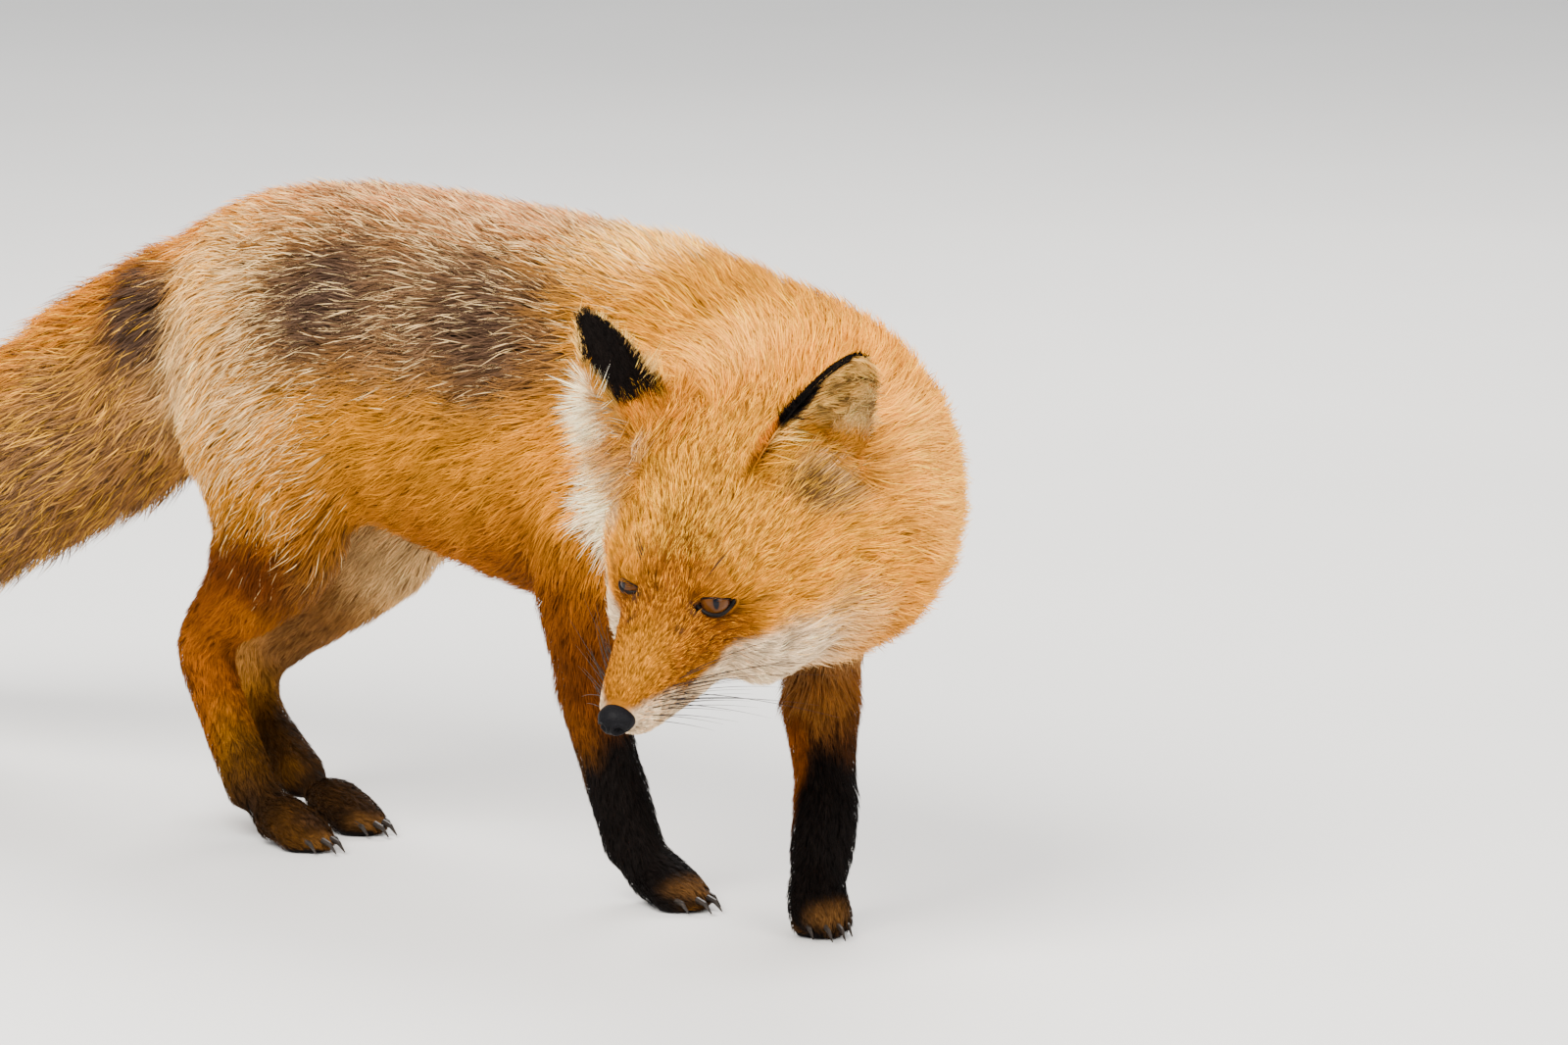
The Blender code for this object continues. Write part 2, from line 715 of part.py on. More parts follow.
def holds(piece: bmesh.types.BMesh, place: Vector) -> bool:
    """Tell whether a closed piece has a place inside it."""
    tree = BVHTree.FromBMesh(piece)
    start = place.copy()
    crossings = 0
    while True:
        hit, _, _, _ = tree.ray_cast(start, Vector((0.0, 0.0, 1.0)))
        if hit is None:
            return crossings % 2 == 1
        crossings += 1
        start = hit + Vector((0.0, 0.0, 1e-6))


def split_islands(bm: bmesh.types.BMesh) -> list:
    """Copy every separate closed piece of a mesh into a mesh of its own."""
    bm.verts.ensure_lookup_table()
    seen = set()
    pieces = []
    for vert in bm.verts:
        if vert.index in seen:
            continue
        island = [vert]
        seen.add(vert.index)
        for reached in island:
            for edge in reached.link_edges:
                other = edge.other_vert(reached)
                if other.index not in seen:
                    seen.add(other.index)
                    island.append(other)
        kept = {item.index for item in island}
        piece = bm.copy()
        extra = [item for item in piece.verts if item.index not in kept]
        bmesh.ops.delete(piece, geom=extra, context="VERTS")
        pieces.append(piece)
    return pieces


def part_body(body: bpy.types.Object) -> dict:
    """Part the nodes from the body one by one; what is left is the trunk."""
    nodes = {}
    for item in CUTS:
        sizes = (GAP, item.width, item.height)
        slab = box("slab", item.place, sizes, slab_turn(item.facing))
        cut(body, slab, "DIFFERENCE")
        bm = bmesh.new()
        bm.from_mesh(body.data)
        bpy.data.objects.remove(body, do_unlink=True)
        for piece in split_islands(bm):
            if holds(piece, item.seed):
                nodes[item.node] = make_object(item.node, piece)
            elif holds(piece, TRUNK_SEED):
                body = make_object("trunk", piece)
            else:
                print("dropped", len(piece.verts), "corners beside", item.node)
                piece.free()
        bm.free()
    nodes["trunk"] = body
    return nodes


# ------------------------------------------------------------------------ main
FUR_ORANGE = (0.68, 0.33, 0.07)
FUR_GOLD = (0.75, 0.47, 0.14)
FUR_BLACK = (0.035, 0.026, 0.020)
NODE_COLORS = {
    "trunk": ("trunk_fur", (0.62, 0.38, 0.16)),
    "tail": ("tail_fur", (0.52, 0.34, 0.16)),
    "neck": ("neck_fur", FUR_GOLD),
    "head": ("head_fur", FUR_ORANGE),
    "leg_fore_right": ("fore_right_fur", FUR_BLACK),
    "leg_fore_left": ("fore_left_fur", FUR_BLACK),
    "leg_hind_right": ("hind_right_fur", (0.42, 0.18, 0.05)),
    "leg_hind_left": ("hind_left_fur", (0.42, 0.20, 0.08)),
}


def build_fox() -> None:
    """Build every node, give each its material and stand the fox on the origin."""
    clear_scene()
    collection = make_collection("red_fox")
    nodes = part_body(build_body())

    materials = {}
    for name, (label, color) in NODE_COLORS.items():
        materials[name] = make_material(label, color, 0.85)
    extras = {}
    claw_material = make_material("claw_horn", (0.10, 0.08, 0.06), 0.45)
    nose_material = make_material("nose_leather", (0.012, 0.011, 0.012), 0.35)
    eye_material = make_material("eye_glass", (0.20, 0.09, 0.02), 0.08)
    ear_materials = {
        "ear_right": make_material("ear_right_fur", FUR_BLACK, 0.85),
        "ear_left": make_material("ear_left_fur", (0.60, 0.47, 0.28), 0.85),
    }

    for sign, side in ((-1, "right"), (1, "left")):
        centre = in_head(-EYE_BACK, sign * EYE_APART, EYE_LIFT)
        eye = ball("eye_" + side, centre, (EYE_RADIUS,) * 3, HEAD, segments=14)
        cut(nodes["head"], grown(eye, GAP), "DIFFERENCE")
        extras[eye.name] = (eye, eye_material)
    for item in EARS:
        ear = build_ear(item)
        for flesh in ("head", "neck"):
            cut(nodes[flesh], grown(ear, GAP), "DIFFERENCE")
        extras[ear.name] = (ear, ear_materials[ear.name])
    nose = build_nose()
    cut(nodes["head"], grown(nose, GAP), "DIFFERENCE")
    extras["nose"] = (nose, nose_material)
    for paw in PAWS:
        for claw in build_claws(paw):
            cut(nodes["leg_" + paw.name], grown(claw, GAP), "DIFFERENCE")
            extras[claw.name] = (claw, claw_material)

    pieces = [(nodes[name], materials[name]) for name in nodes]
    pieces += list(extras.values())
    places = [vert.co for piece, _ in pieces for vert in piece.data.vertices]
    low = Vector((min(place[axis] for place in places) for axis in range(3)))
    high = Vector((max(place[axis] for place in places) for axis in range(3)))
    shift = Vector((-(low.x + high.x) / 2, -(low.y + high.y) / 2, -low.z))
    print("shift", tuple(round(value, 5) for value in shift))
    for piece, material in pieces:
        piece.data.transform(Matrix.Translation(shift))
        piece.data.materials.clear()
        piece.data.materials.append(material)
        for polygon in piece.data.polygons:
            polygon.use_smooth = True
        for owner in list(piece.users_collection):
            owner.objects.unlink(piece)
        collection.objects.link(piece)
        print(piece.name, len(piece.data.polygons))


build_fox()
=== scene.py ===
"""Looks of a life-size red fox in winter coat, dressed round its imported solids.

One skin covers the flesh solids from inside, with lids round the eyes. Over it lies
the coat: many thin tapered locks, joined into a few meshes that follow the lie of the
hair. Eyes, nose leather, lips, ears, whiskers and claws are pieces of their own. Sizes
are in metres unless a name says millimetres, and places are read from the solids.
"""

import json
import logging
import math
from dataclasses import dataclass, field
from enum import Enum

import bpy
import numpy as np
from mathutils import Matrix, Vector
from mathutils.bvhtree import BVHTree
from mathutils.kdtree import KDTree

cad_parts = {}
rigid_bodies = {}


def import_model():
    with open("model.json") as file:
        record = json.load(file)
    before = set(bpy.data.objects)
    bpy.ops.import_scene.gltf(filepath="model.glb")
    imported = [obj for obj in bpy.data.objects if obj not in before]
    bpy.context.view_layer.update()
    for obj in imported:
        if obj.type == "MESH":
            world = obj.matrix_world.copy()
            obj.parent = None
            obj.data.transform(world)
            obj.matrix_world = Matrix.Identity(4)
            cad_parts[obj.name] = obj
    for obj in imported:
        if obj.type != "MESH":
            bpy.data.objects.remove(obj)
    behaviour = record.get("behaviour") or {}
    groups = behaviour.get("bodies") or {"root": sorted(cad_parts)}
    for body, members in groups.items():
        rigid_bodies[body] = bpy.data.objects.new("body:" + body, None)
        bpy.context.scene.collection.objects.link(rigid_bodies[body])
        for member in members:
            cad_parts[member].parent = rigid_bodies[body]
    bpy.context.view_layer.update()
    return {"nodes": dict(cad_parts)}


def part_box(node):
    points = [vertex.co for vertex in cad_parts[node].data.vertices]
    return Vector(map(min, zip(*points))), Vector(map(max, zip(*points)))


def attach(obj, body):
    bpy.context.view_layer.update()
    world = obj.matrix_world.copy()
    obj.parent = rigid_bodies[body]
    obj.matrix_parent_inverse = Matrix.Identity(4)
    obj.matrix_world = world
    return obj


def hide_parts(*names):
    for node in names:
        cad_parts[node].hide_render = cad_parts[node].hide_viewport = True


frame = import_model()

LOG = logging.getLogger("red_fox")
MM = 0.001
MERGE_GAP = 0.00002             # points of a solid nearer to each other than this are one
COLOR_LAYER = "coat_color"      # colour of skin and hair, point by point
PATCH_LAYER = "OFBake"          # map with a small patch for each lock
PATCH_SIZE = 0.003              # size of that patch on the map
SKIN_SHARE = 0.66               # share of the skin's faces kept once the coat has grown from it
SKIN_SHADE = 0.72               # underfur's brightness beside the hair's
EAR_SHADE = 0.75                # the same on the ears

# Starts of the random draws. The side, 1 or -1, is added to the last three.
SKIN_ROOTS, SKIN_LOCKS, THINNING = 3, 4, 9
EAR_ROOTS, EAR_LOCKS, WHISKER_DRAWS = 11, 13, 40


# ---------------------------------------------------------------- plain maths
def unit(ways: np.ndarray) -> np.ndarray:
    """Scale directions to length one."""
    ways = np.asarray(ways, float)
    length = np.linalg.norm(ways, axis=-1, keepdims=True)
    return ways / np.maximum(length, 1e-9)


def ramp(values: np.ndarray, low: float, high: float) -> np.ndarray:
    """Rise smoothly from 0 at low to 1 at high."""
    share = np.clip((np.asarray(values, float) - low) / (high - low), 0.0, 1.0)
    return share * share * (3.0 - 2.0 * share)


def mix(first: np.ndarray, second: np.ndarray, share: np.ndarray) -> np.ndarray:
    """Blend two values by a share of the second."""
    return first + (second - first) * share


def ripple(places: np.ndarray, scale: float, seed: int) -> np.ndarray:
    """Give a smooth wandering number, about -1 to 1, at each place.

    Args:
        places: Points in metres.
        scale: Typical distance from one crest to the next.
        seed: Which wandering field.

    Returns:
        One number for each point.
    """
    draw = np.random.default_rng(seed)
    total = np.zeros(len(places))
    waves = 7
    for _ in range(waves):
        way = unit(draw.normal(size=3)) * (math.tau / (scale * draw.uniform(0.7, 1.6)))
        total += np.sin(places @ way + draw.uniform(0.0, math.tau))
    return total / math.sqrt(waves) / 1.2


def side_name(side: int) -> str:
    """Name a side: 1 is the left one, -1 the right one."""
    return "left" if side > 0 else "right"


def bearing(azimuth: float, elevation: float) -> Vector:
    """Give the direction from the model to a place seen at these angles, in degrees."""
    turn, lift = math.radians(azimuth), math.radians(elevation)
    return Vector((math.sin(turn) * math.cos(lift), -math.cos(turn) * math.cos(lift), math.sin(lift)))


def finder_of(places: np.ndarray) -> KDTree:
    """Build a search tree over points."""
    finder = KDTree(len(places))
    for number, place in enumerate(places):
        finder.insert(place, number)
    finder.balance()
    return finder


@dataclass(frozen=True)
class Axes:
    """A right-handed set of axes: forward, left and up as columns."""

    origin: np.ndarray
    turn: np.ndarray

    def place(self, forward: float, left: float, up: float) -> np.ndarray:
        """Turn a place in these axes into one in the model's frame."""
        return self.origin + self.turn @ np.array((forward, left, up))

    def way(self, forward: float, left: float, up: float) -> np.ndarray:
        """Turn a direction in these axes into one in the model's frame."""
        return unit(self.turn @ np.array((forward, left, up)))

    def read(self, places: np.ndarray) -> np.ndarray:
        """Read places of the model's frame in these axes."""
        return (np.asarray(places) - self.origin) @ self.turn


class Region(Enum):
    """The parts of the body that carry coats of their own."""

    HEAD = ("head",)
    NECK = ("neck",)
    TRUNK = ("trunk",)
    TAIL = ("tail",)
    LEGS = ("leg_fore_right", "leg_fore_left", "leg_hind_right", "leg_hind_left")


REGIONS = tuple(Region)
FLESH = tuple(node for region in REGIONS for node in region.value)


def box_middle(node: str) -> np.ndarray:
    """Give the middle of a solid's box."""
    low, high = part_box(node)
    return (np.array(low) + np.array(high)) / 2


@dataclass(frozen=True)
class Landmarks:
    """Axes of the head, body and tail, found from the solids.

    Attributes:
        nose_inset: Nose leather's middle behind and below the nose tip.
        eyes_behind: Eyes behind the nose leather's middle, along the skull.
        eyes_above: Eyes above it.
        loin_ahead: The body axes' origin ahead of the trunk's rear end.
        tail_drop: The tail's fall, in degrees below level.
        root_inset: Middle of the tail's root behind and below its box's upper front corner.
    """

    nose_inset: tuple = (0.0045, 0.0055)
    eyes_behind: float = 0.0749
    eyes_above: float = 0.0270
    loin_ahead: float = 0.2971
    tail_drop: float = 27.5
    root_inset: tuple = (0.012, 0.055)

    def head(self) -> Axes:
        """Find the skull's axes, with their origin at the nose tip."""
        nose = box_middle("nose")
        left, right = box_middle("eye_left"), box_middle("eye_right")
        across = unit(left - right)
        ahead = nose - (left + right) / 2
        ahead = unit(ahead - across * (ahead @ across))
        above = np.cross(ahead, across)
        tilt = math.atan2(self.eyes_above, self.eyes_behind)
        forward = math.cos(tilt) * ahead + math.sin(tilt) * above
        up = math.cos(tilt) * above - math.sin(tilt) * ahead
        back, down = self.nose_inset
        return Axes(nose + forward * back + up * down, np.stack((forward, across, up), axis=1))

    def body(self) -> Axes:
        """Find the body's axes: level, with their origin on the floor under the loin."""
        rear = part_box("trunk")[0].x
        side = box_middle("tail")[1]
        return Axes(np.array((rear + self.loin_ahead, side, 0.0)), np.eye(3))

    def tail(self) -> Axes:
        """Find the tail's axes: forward runs from its root to its tip."""
        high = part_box("tail")[1]
        drop = math.radians(self.tail_drop)
        forward = np.array((-math.cos(drop), 0.0, -math.sin(drop)))
        up = np.array((-math.sin(drop), 0.0, math.cos(drop)))
        behind, below = self.root_inset
        root = np.array((high.x - behind, box_middle("tail")[1], high.z - below))
        return Axes(root, np.stack((forward, np.cross(up, forward), up), axis=1))


HEAD = Landmarks().head()
BODY = Landmarks().body()
TAIL = Landmarks().tail()


# ------------------------------------------------------------- shader writing
@dataclass(frozen=True)
class Wire:
    """A shader socket that takes part in Python sums."""

    bench: "Bench"
    socket: bpy.types.NodeSocket

    def sum(self, operation: str, *others) -> "Wire":
        """Add a Math node that works on this wire and others."""
        values = dict(enumerate((self, *others)))
        return self.bench.node("ShaderNodeMath", {"operation": operation}, values)

    def __add__(self, other) -> "Wire":
        return self.sum("ADD", other)

    __radd__ = __add__

    def __mul__(self, other) -> "Wire":
        return self.sum("MULTIPLY", other)

    __rmul__ = __mul__

    def __sub__(self, other) -> "Wire":
        return self.sum("SUBTRACT", other)

    def __rsub__(self, other) -> "Wire":
        return self.bench.node("ShaderNodeMath", {"operation": "SUBTRACT"}, {0: other, 1: self})

    def __truediv__(self, other) -> "Wire":
        return self.sum("DIVIDE", other)

    def ramp(self, low: float, high: float) -> "Wire":
        """Rise smoothly from 0 at low to 1 at high."""
        settings = {"interpolation_type": "SMOOTHSTEP"}
        return self.bench.node(
            "ShaderNodeMapRange", settings, {"Value": self, "From Min": low, "From Max": high}
        )


class Bench:
    """Builds one material out of nodes.

    Args:
        name: The material's name.
        roughness: Roughness where nothing else is wired.
        constants: Other values set on the shader's own sockets.
    """

    def __init__(self, name: str, roughness: float = 0.6, **constants: float) -> None:
        self.material = bpy.data.materials.new(name)
        self.material.use_nodes = True
        self.tree = self.material.node_tree
        self.shader = self.tree.nodes["Principled BSDF"]
        self.shader.inputs["Roughness"].default_value = roughness
        for socket, value in constants.items():
            self.shader.inputs[socket.replace("_", " ")].default_value = value

    def node(self, kind: str, settings: dict, values: dict, out: int | str = 0) -> Wire:
        """Add a node.

        Args:
            kind: The node's type.
            settings: Attributes that are set first, such as an operation or ramp stops.
            values: Wires or plain values for the sockets, by name or number.
            out: Which output to hand on.

        Returns:
            The chosen output.
        """
        node = self.tree.nodes.new(kind)
        for key, value in settings.items():
            if key == "stops":
                self.set_stops(node, value)
            else:
                setattr(node, key, value)
        for key, value in values.items():
            if isinstance(value, Wire):
                self.tree.links.new(value.socket, node.inputs[key])
            else:
                node.inputs[key].default_value = value
        return Wire(self, node.outputs[out])

    @staticmethod
    def set_stops(node: bpy.types.Node, stops: tuple) -> None:
        """Fill a colour ramp with (position, colour) stops."""
        elements = node.color_ramp.elements
        while len(elements) < len(stops):
            elements.new(0.5)
        for element, (position, color) in zip(elements, stops):
            element.position = position
            element.color = (*color, 1.0)

    def place(self) -> Wire:
        """Read the place on the object."""
        return self.node("ShaderNodeTexCoord", {}, {}, out="Object")

    def painted(self) -> Wire:
        """Read the colour painted on the piece's points."""
        settings = {"attribute_name": COLOR_LAYER, "attribute_type": "GEOMETRY"}
        return self.node("ShaderNodeAttribute", settings, {}, out="Color")

    def noise(self, scale: float, detail: float = 2.0, where: Wire | None = None) -> Wire:
        """Add cloudy noise, about 0 to 1."""
        values = {"Vector": where or self.place(), "Scale": scale, "Detail": detail}
        return self.node("ShaderNodeTexNoise", {}, values)

    def blend(self, kind: str, share, first, second) -> Wire:
        """Mix two colours."""
        node = self.tree.nodes.new("ShaderNodeMix")
        node.data_type = "RGBA"
        node.blend_type = kind
        for socket, value in ((node.inputs[0], share), (node.inputs[6], first), (node.inputs[7], second)):
            if isinstance(value, Wire):
                self.tree.links.new(value.socket, socket)
            else:
                socket.default_value = value
        return Wire(self, node.outputs[2])

    def vector(self, operation: str, first, second, out: int | str = 0) -> Wire:
        """Add a Vector Math node."""
        settings = {"operation": operation}
        return self.node("ShaderNodeVectorMath", settings, {0: first, 1: second}, out)

    def wire(self, socket: str, value: Wire) -> None:
        """Feed one of the shader's sockets."""
        self.tree.links.new(value.socket, self.shader.inputs[socket])

    def bump(self, height: Wire, strength: float, distance: float) -> None:
        """Feed the shader's normal from a height."""
        values = {"Height": height, "Strength": strength, "Distance": distance}
        self.wire("Normal", self.node("ShaderNodeBump", {}, values))


@dataclass(frozen=True)
class HairFinish:
    """The coat's own hair: painted colour, broken up by fine noise."""

    name: str = "fox_hair"
    roughness: float = 0.62
    flecks: float = 420.0

    def make(self) -> bpy.types.Material:
        """Build the material."""
        bench = Bench(self.name, self.roughness, Specular_IOR_Level=0.04)
        light = bench.noise(self.flecks, 2.0) * 0.60 + 0.72
        shade = bench.node("ShaderNodeCombineColor", {}, {0: light, 1: light, 2: light})
        bench.wire("Base Color", bench.blend("MULTIPLY", 1.0, bench.painted(), shade))
        bench.wire("Roughness", light * 0.25 + (self.roughness - 0.25))
        return bench.material


@dataclass(frozen=True)
class SkinFinish:
    """Skin and underfur: the same markings, with the grain of short hair."""

    name: str = "fox_underfur"
    roughness: float = 0.82
    grain: float = 620.0

    def make(self) -> bpy.types.Material:
        """Build the material."""
        bench = Bench(self.name, self.roughness, Specular_IOR_Level=0.05)
        light = bench.noise(self.grain, 4.0) * 0.7 + 0.50
        shade = bench.node("ShaderNodeCombineColor", {}, {0: light, 1: light, 2: light})
        bench.wire("Base Color", bench.blend("MULTIPLY", 1.0, bench.painted(), shade))
        bench.bump(bench.noise(self.grain * 1.6, 4.0), 0.6, 0.0008)
        return bench.material


@dataclass(frozen=True)
class LeatherFinish:
    """Moist nose leather: small pebbles between fine creases."""

    name: str = "nose_leather_finish"
    pebbles: float = 1500.0
    dark: tuple = (0.0015, 0.0015, 0.002)
    light: tuple = (0.0045, 0.0042, 0.0052)

    def make(self) -> bpy.types.Material:
        """Build the material."""
        bench = Bench(self.name, 0.45, Coat_Roughness=0.3, Specular_IOR_Level=0.05)
        values = {"Vector": bench.place(), "Scale": self.pebbles}
        cells = bench.node("ShaderNodeTexVoronoi", {"feature": "F1"}, values, out="Distance")
        worn = bench.noise(420.0, 3.0)
        tone = (1.0 - cells) * 0.45 + worn * 0.55
        stops = ((0.15, self.dark), (0.85, self.light))
        bench.wire("Base Color", bench.node("ShaderNodeValToRGB", {"stops": stops}, {0: tone}))
        bench.wire("Roughness", worn * 0.30 + 0.33)
        bench.wire("Coat Weight", bench.noise(260.0) * 0.04)
        bench.bump((1.0 - cells) + worn * 0.4, 0.55, 0.0004)
        return bench.material


@dataclass(frozen=True)
class SmoothFinish:
    """A plain dark or pale body tissue with a little mottling.

    Attributes:
        name: The material's name.
        dark: Colour of the darker mottles.
        light: Colour of the paler ones.
        roughness: Mean roughness.
        scale: Size of the mottles, as noise scale.
        relief: Depth of the bump in metres.
    """

    name: str
    dark: tuple
    light: tuple
    roughness: float
    scale: float = 500.0
    relief: float = 0.0002

    def make(self) -> bpy.types.Material:
        """Build the material."""
        bench = Bench(self.name, self.roughness, Specular_IOR_Level=0.06)
        cloud = bench.noise(self.scale, 3.0)
        stops = ((0.3, self.dark), (0.75, self.light))
        bench.wire("Base Color", bench.node("ShaderNodeValToRGB", {"stops": stops}, {0: cloud}))
        bench.wire("Roughness", cloud * 0.2 + (self.roughness - 0.1))
        bench.bump(bench.noise(self.scale * 2.2, 3.0), 0.4, self.relief)
        return bench.material


@dataclass(frozen=True)
class HornFinish:
    """Claw horn: dark, streaked along its length."""

    name: str = "claw_horn_finish"

    def make(self) -> bpy.types.Material:
        """Build the material."""
        bench = Bench(self.name, 0.45, Coat_Roughness=0.2, Specular_IOR_Level=0.2)
        stretched = bench.vector("MULTIPLY", bench.place(), (180.0, 900.0, 900.0))
        streaks = bench.node("ShaderNodeTexNoise", {}, {"Vector": stretched, "Scale": 1.0, "Detail": 3.0})
        stops = (
            (0.25, (0.008, 0.006, 0.005)),
            (0.60, (0.022, 0.016, 0.012)),
            (0.85, (0.060, 0.045, 0.032)),
        )
        bench.wire("Base Color", bench.node("ShaderNodeValToRGB", {"stops": stops}, {0: streaks}))
        bench.wire("Roughness", streaks * 0.3 + 0.25)
        bench.bump(streaks, 0.3, 0.0002)
        return bench.material


@dataclass(frozen=True)
class EyeFinish:
    """An amber-brown iris with an upright slit pupil, under a wet cornea.

    Attributes:
        name: The material's name.
        centre: The eyeball's middle.
        gaze: Direction the pupil looks along.
        above: Direction along the upright pupil.
    """

    name: str
    centre: tuple
    gaze: tuple
    above: tuple
    iris: float = 0.0077
    slit_wide: float = 0.0015
    slit_tall: float = 0.0036

    def make(self) -> bpy.types.Material:
        """Build the material."""
        bench = Bench(self.name, 0.12, Specular_IOR_Level=0.08, Coat_Weight=0.04, Coat_Roughness=0.03)
        side = tuple(np.cross(self.above, self.gaze))
        spot = bench.vector("SUBTRACT", bench.place(), self.centre)
        across = bench.vector("DOT_PRODUCT", spot, side, out="Value")
        tall = bench.vector("DOT_PRODUCT", spot, self.above, out="Value")
        front = bench.vector("DOT_PRODUCT", spot, self.gaze, out="Value")
        away = (across * across + tall * tall).sum("POWER", 0.5)
        angle = tall.sum("ARCTAN2", across)
        rays = {"X": angle * 5.0, "Y": away * 260.0}
        ray_place = bench.node("ShaderNodeCombineXYZ", {}, rays)
        fibres = bench.noise(2.2, 4.0, ray_place)
        ring = away / self.iris + (fibres - 0.5) * 0.35
        stops = (
            (0.16, (0.034, 0.014, 0.005)),
            (0.42, (0.060, 0.021, 0.005)),
            (0.74, (0.075, 0.024, 0.004)),
            (0.92, (0.030, 0.009, 0.003)),
            (1.0, (0.005, 0.003, 0.003)),
        )
        iris = bench.node("ShaderNodeValToRGB", {"stops": stops}, {0: ring})
        slit = (across / self.slit_wide) * (across / self.slit_wide)
        slit = slit + (tall / self.slit_tall) * (tall / self.slit_tall)
        open_share = slit.ramp(0.6, 1.5)
        seen = bench.blend("MIX", open_share, (0.004, 0.004, 0.006, 1.0), iris)
        ball = bench.blend("MIX", front.ramp(0.0, 0.003), (0.012, 0.008, 0.006, 1.0), seen)
        bench.wire("Base Color", ball)
        bench.wire("Roughness", fibres * 0.1 + 0.06)
        return bench.material


@dataclass(frozen=True)
class FloorFinish:
    """A matt, pale studio floor with the faintest mottling."""

    name: str = "studio_floor"

    def make(self) -> bpy.types.Material:
        """Build the material."""
        bench = Bench(self.name, 0.85, Specular_IOR_Level=0.2)
        stops = ((0.3, (0.70, 0.69, 0.67)), (0.7, (0.74, 0.73, 0.71)))
        tone = bench.noise(1.6, 3.0)
        bench.wire("Base Color", bench.node("ShaderNodeValToRGB", {"stops": stops}, {0: tone}))
        bench.wire("Roughness", tone * 0.1 + 0.8)
        return bench.material


# ------------------------------------------------------------ mesh workshop
def deselect() -> None:
    """Leave nothing selected or active."""
    for item in bpy.context.view_layer.objects:
        item.select_set(False)
    bpy.context.view_layer.objects.active = None


def pick(*objects: bpy.types.Object) -> None:
    """Select these objects alone, and make the first one active."""
    deselect()
    for item in objects:
        item.select_set(True)
    bpy.context.view_layer.objects.active = objects[0]


def copy_solid(node: str) -> bpy.types.Object:
    """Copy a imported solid, with its loose triangles merged."""
    source = frame["nodes"][node]
    copy = source.copy()
    copy.data = source.data.copy()
    copy.parent = None
    for key in list(copy.keys()):
        del copy[key]
    copy.name = "copy_of_" + node
    bpy.context.scene.collection.objects.link(copy)
    pick(copy)
    bpy.ops.object.mode_set(mode="EDIT")
    bpy.ops.mesh.select_all(action="SELECT")
    bpy.ops.mesh.remove_doubles(threshold=MERGE_GAP)
    bpy.ops.object.mode_set(mode="OBJECT")
    copy.data.materials.clear()
    return copy


def apply_modifier(obj: bpy.types.Object, kind: str, settings: dict) -> None:
    """Add one modifier and apply it."""
    pick(obj)
    modifier = obj.modifiers.new(kind.lower(), kind)
    for key, value in settings.items():
        setattr(modifier, key, value)
    bpy.ops.object.modifier_apply(modifier=modifier.name)


def vectors_of(items: bpy.types.bpy_prop_collection, key: str) -> np.ndarray:
    """Read one vector of each item, such as a point's place."""
    found = np.empty(len(items) * 3, np.float32)
    items.foreach_get(key, found)
    return found.reshape(-1, 3).astype(float)


def points_of(mesh: bpy.types.Mesh) -> np.ndarray:
    """Read a mesh's points."""
    return vectors_of(mesh.vertices, "co")


def normals_of(mesh: bpy.types.Mesh) -> np.ndarray:
    """Read the direction that each of a mesh's points faces."""
    return vectors_of(mesh.vertices, "normal")


def triangles_of(mesh: bpy.types.Mesh) -> np.ndarray:
    """Read a mesh's faces as triangles."""
    mesh.calc_loop_triangles()
    found = np.empty(len(mesh.loop_triangles) * 3, np.int32)
    mesh.loop_triangles.foreach_get("vertices", found)
    return found.reshape(-1, 3)


def move_points(mesh: bpy.types.Mesh, places: np.ndarray) -> None:
    """Give a mesh's points new places."""
    mesh.vertices.foreach_set("co", places.astype(np.float32).ravel())
    mesh.update()


def tree_of(obj: bpy.types.Object) -> BVHTree:
    """Build a search tree over an object's faces."""
    places = [tuple(place) for place in points_of(obj.data)]
    return BVHTree.FromPolygons(places, triangles_of(obj.data).tolist())


def paint(mesh: bpy.types.Mesh, colors: np.ndarray) -> None:
    """Store a colour on each point."""
    layer = mesh.attributes.new(COLOR_LAYER, "FLOAT_COLOR", "POINT")
    full = np.ones((len(colors), 4), np.float32)
    full[:, :3] = np.clip(colors, 0.0, 1.0)
    layer.data.foreach_set("color", full.ravel())


def mesh_object(name: str, places: np.ndarray, triangles: np.ndarray) -> bpy.types.Object:
    """Make an object from points and triangles."""
    mesh = bpy.data.meshes.new(name)
    mesh.vertices.add(len(places))
    mesh.vertices.foreach_set("co", places.astype(np.float32).ravel())
    mesh.loops.add(triangles.size)
    mesh.loops.foreach_set("vertex_index", triangles.astype(np.int32).ravel())
    mesh.polygons.add(len(triangles))
    mesh.polygons.foreach_set("loop_start", np.arange(0, triangles.size, 3, dtype=np.int32))
    mesh.polygons.foreach_set("use_smooth", np.ones(len(triangles), bool))
    mesh.update(calc_edges=True)
    obj = bpy.data.objects.new(name, mesh)
    bpy.context.scene.collection.objects.link(obj)
    return obj


def smooth_shading(obj: bpy.types.Object) -> None:
    """Shade every face smooth."""
    obj.data.polygons.foreach_set("use_smooth", np.ones(len(obj.data.polygons), bool))
    obj.data.update()


def finish_piece(obj: bpy.types.Object, material: bpy.types.Material, slot: str, *nodes: str) -> None:
    """Dress a piece and tie it to the model.

    Args:
        obj: The piece.
        material: Its finish.
        slot: The record's material slot it belongs to; not used.
        nodes: Solids that it stands for.
    """
    obj.data.materials.clear()
    obj.data.materials.append(material)
    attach(obj, "root")
    if nodes:
        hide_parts(*nodes)
    LOG.info("%s: %d points, %d faces", obj.name, len(obj.data.vertices), len(obj.data.polygons))


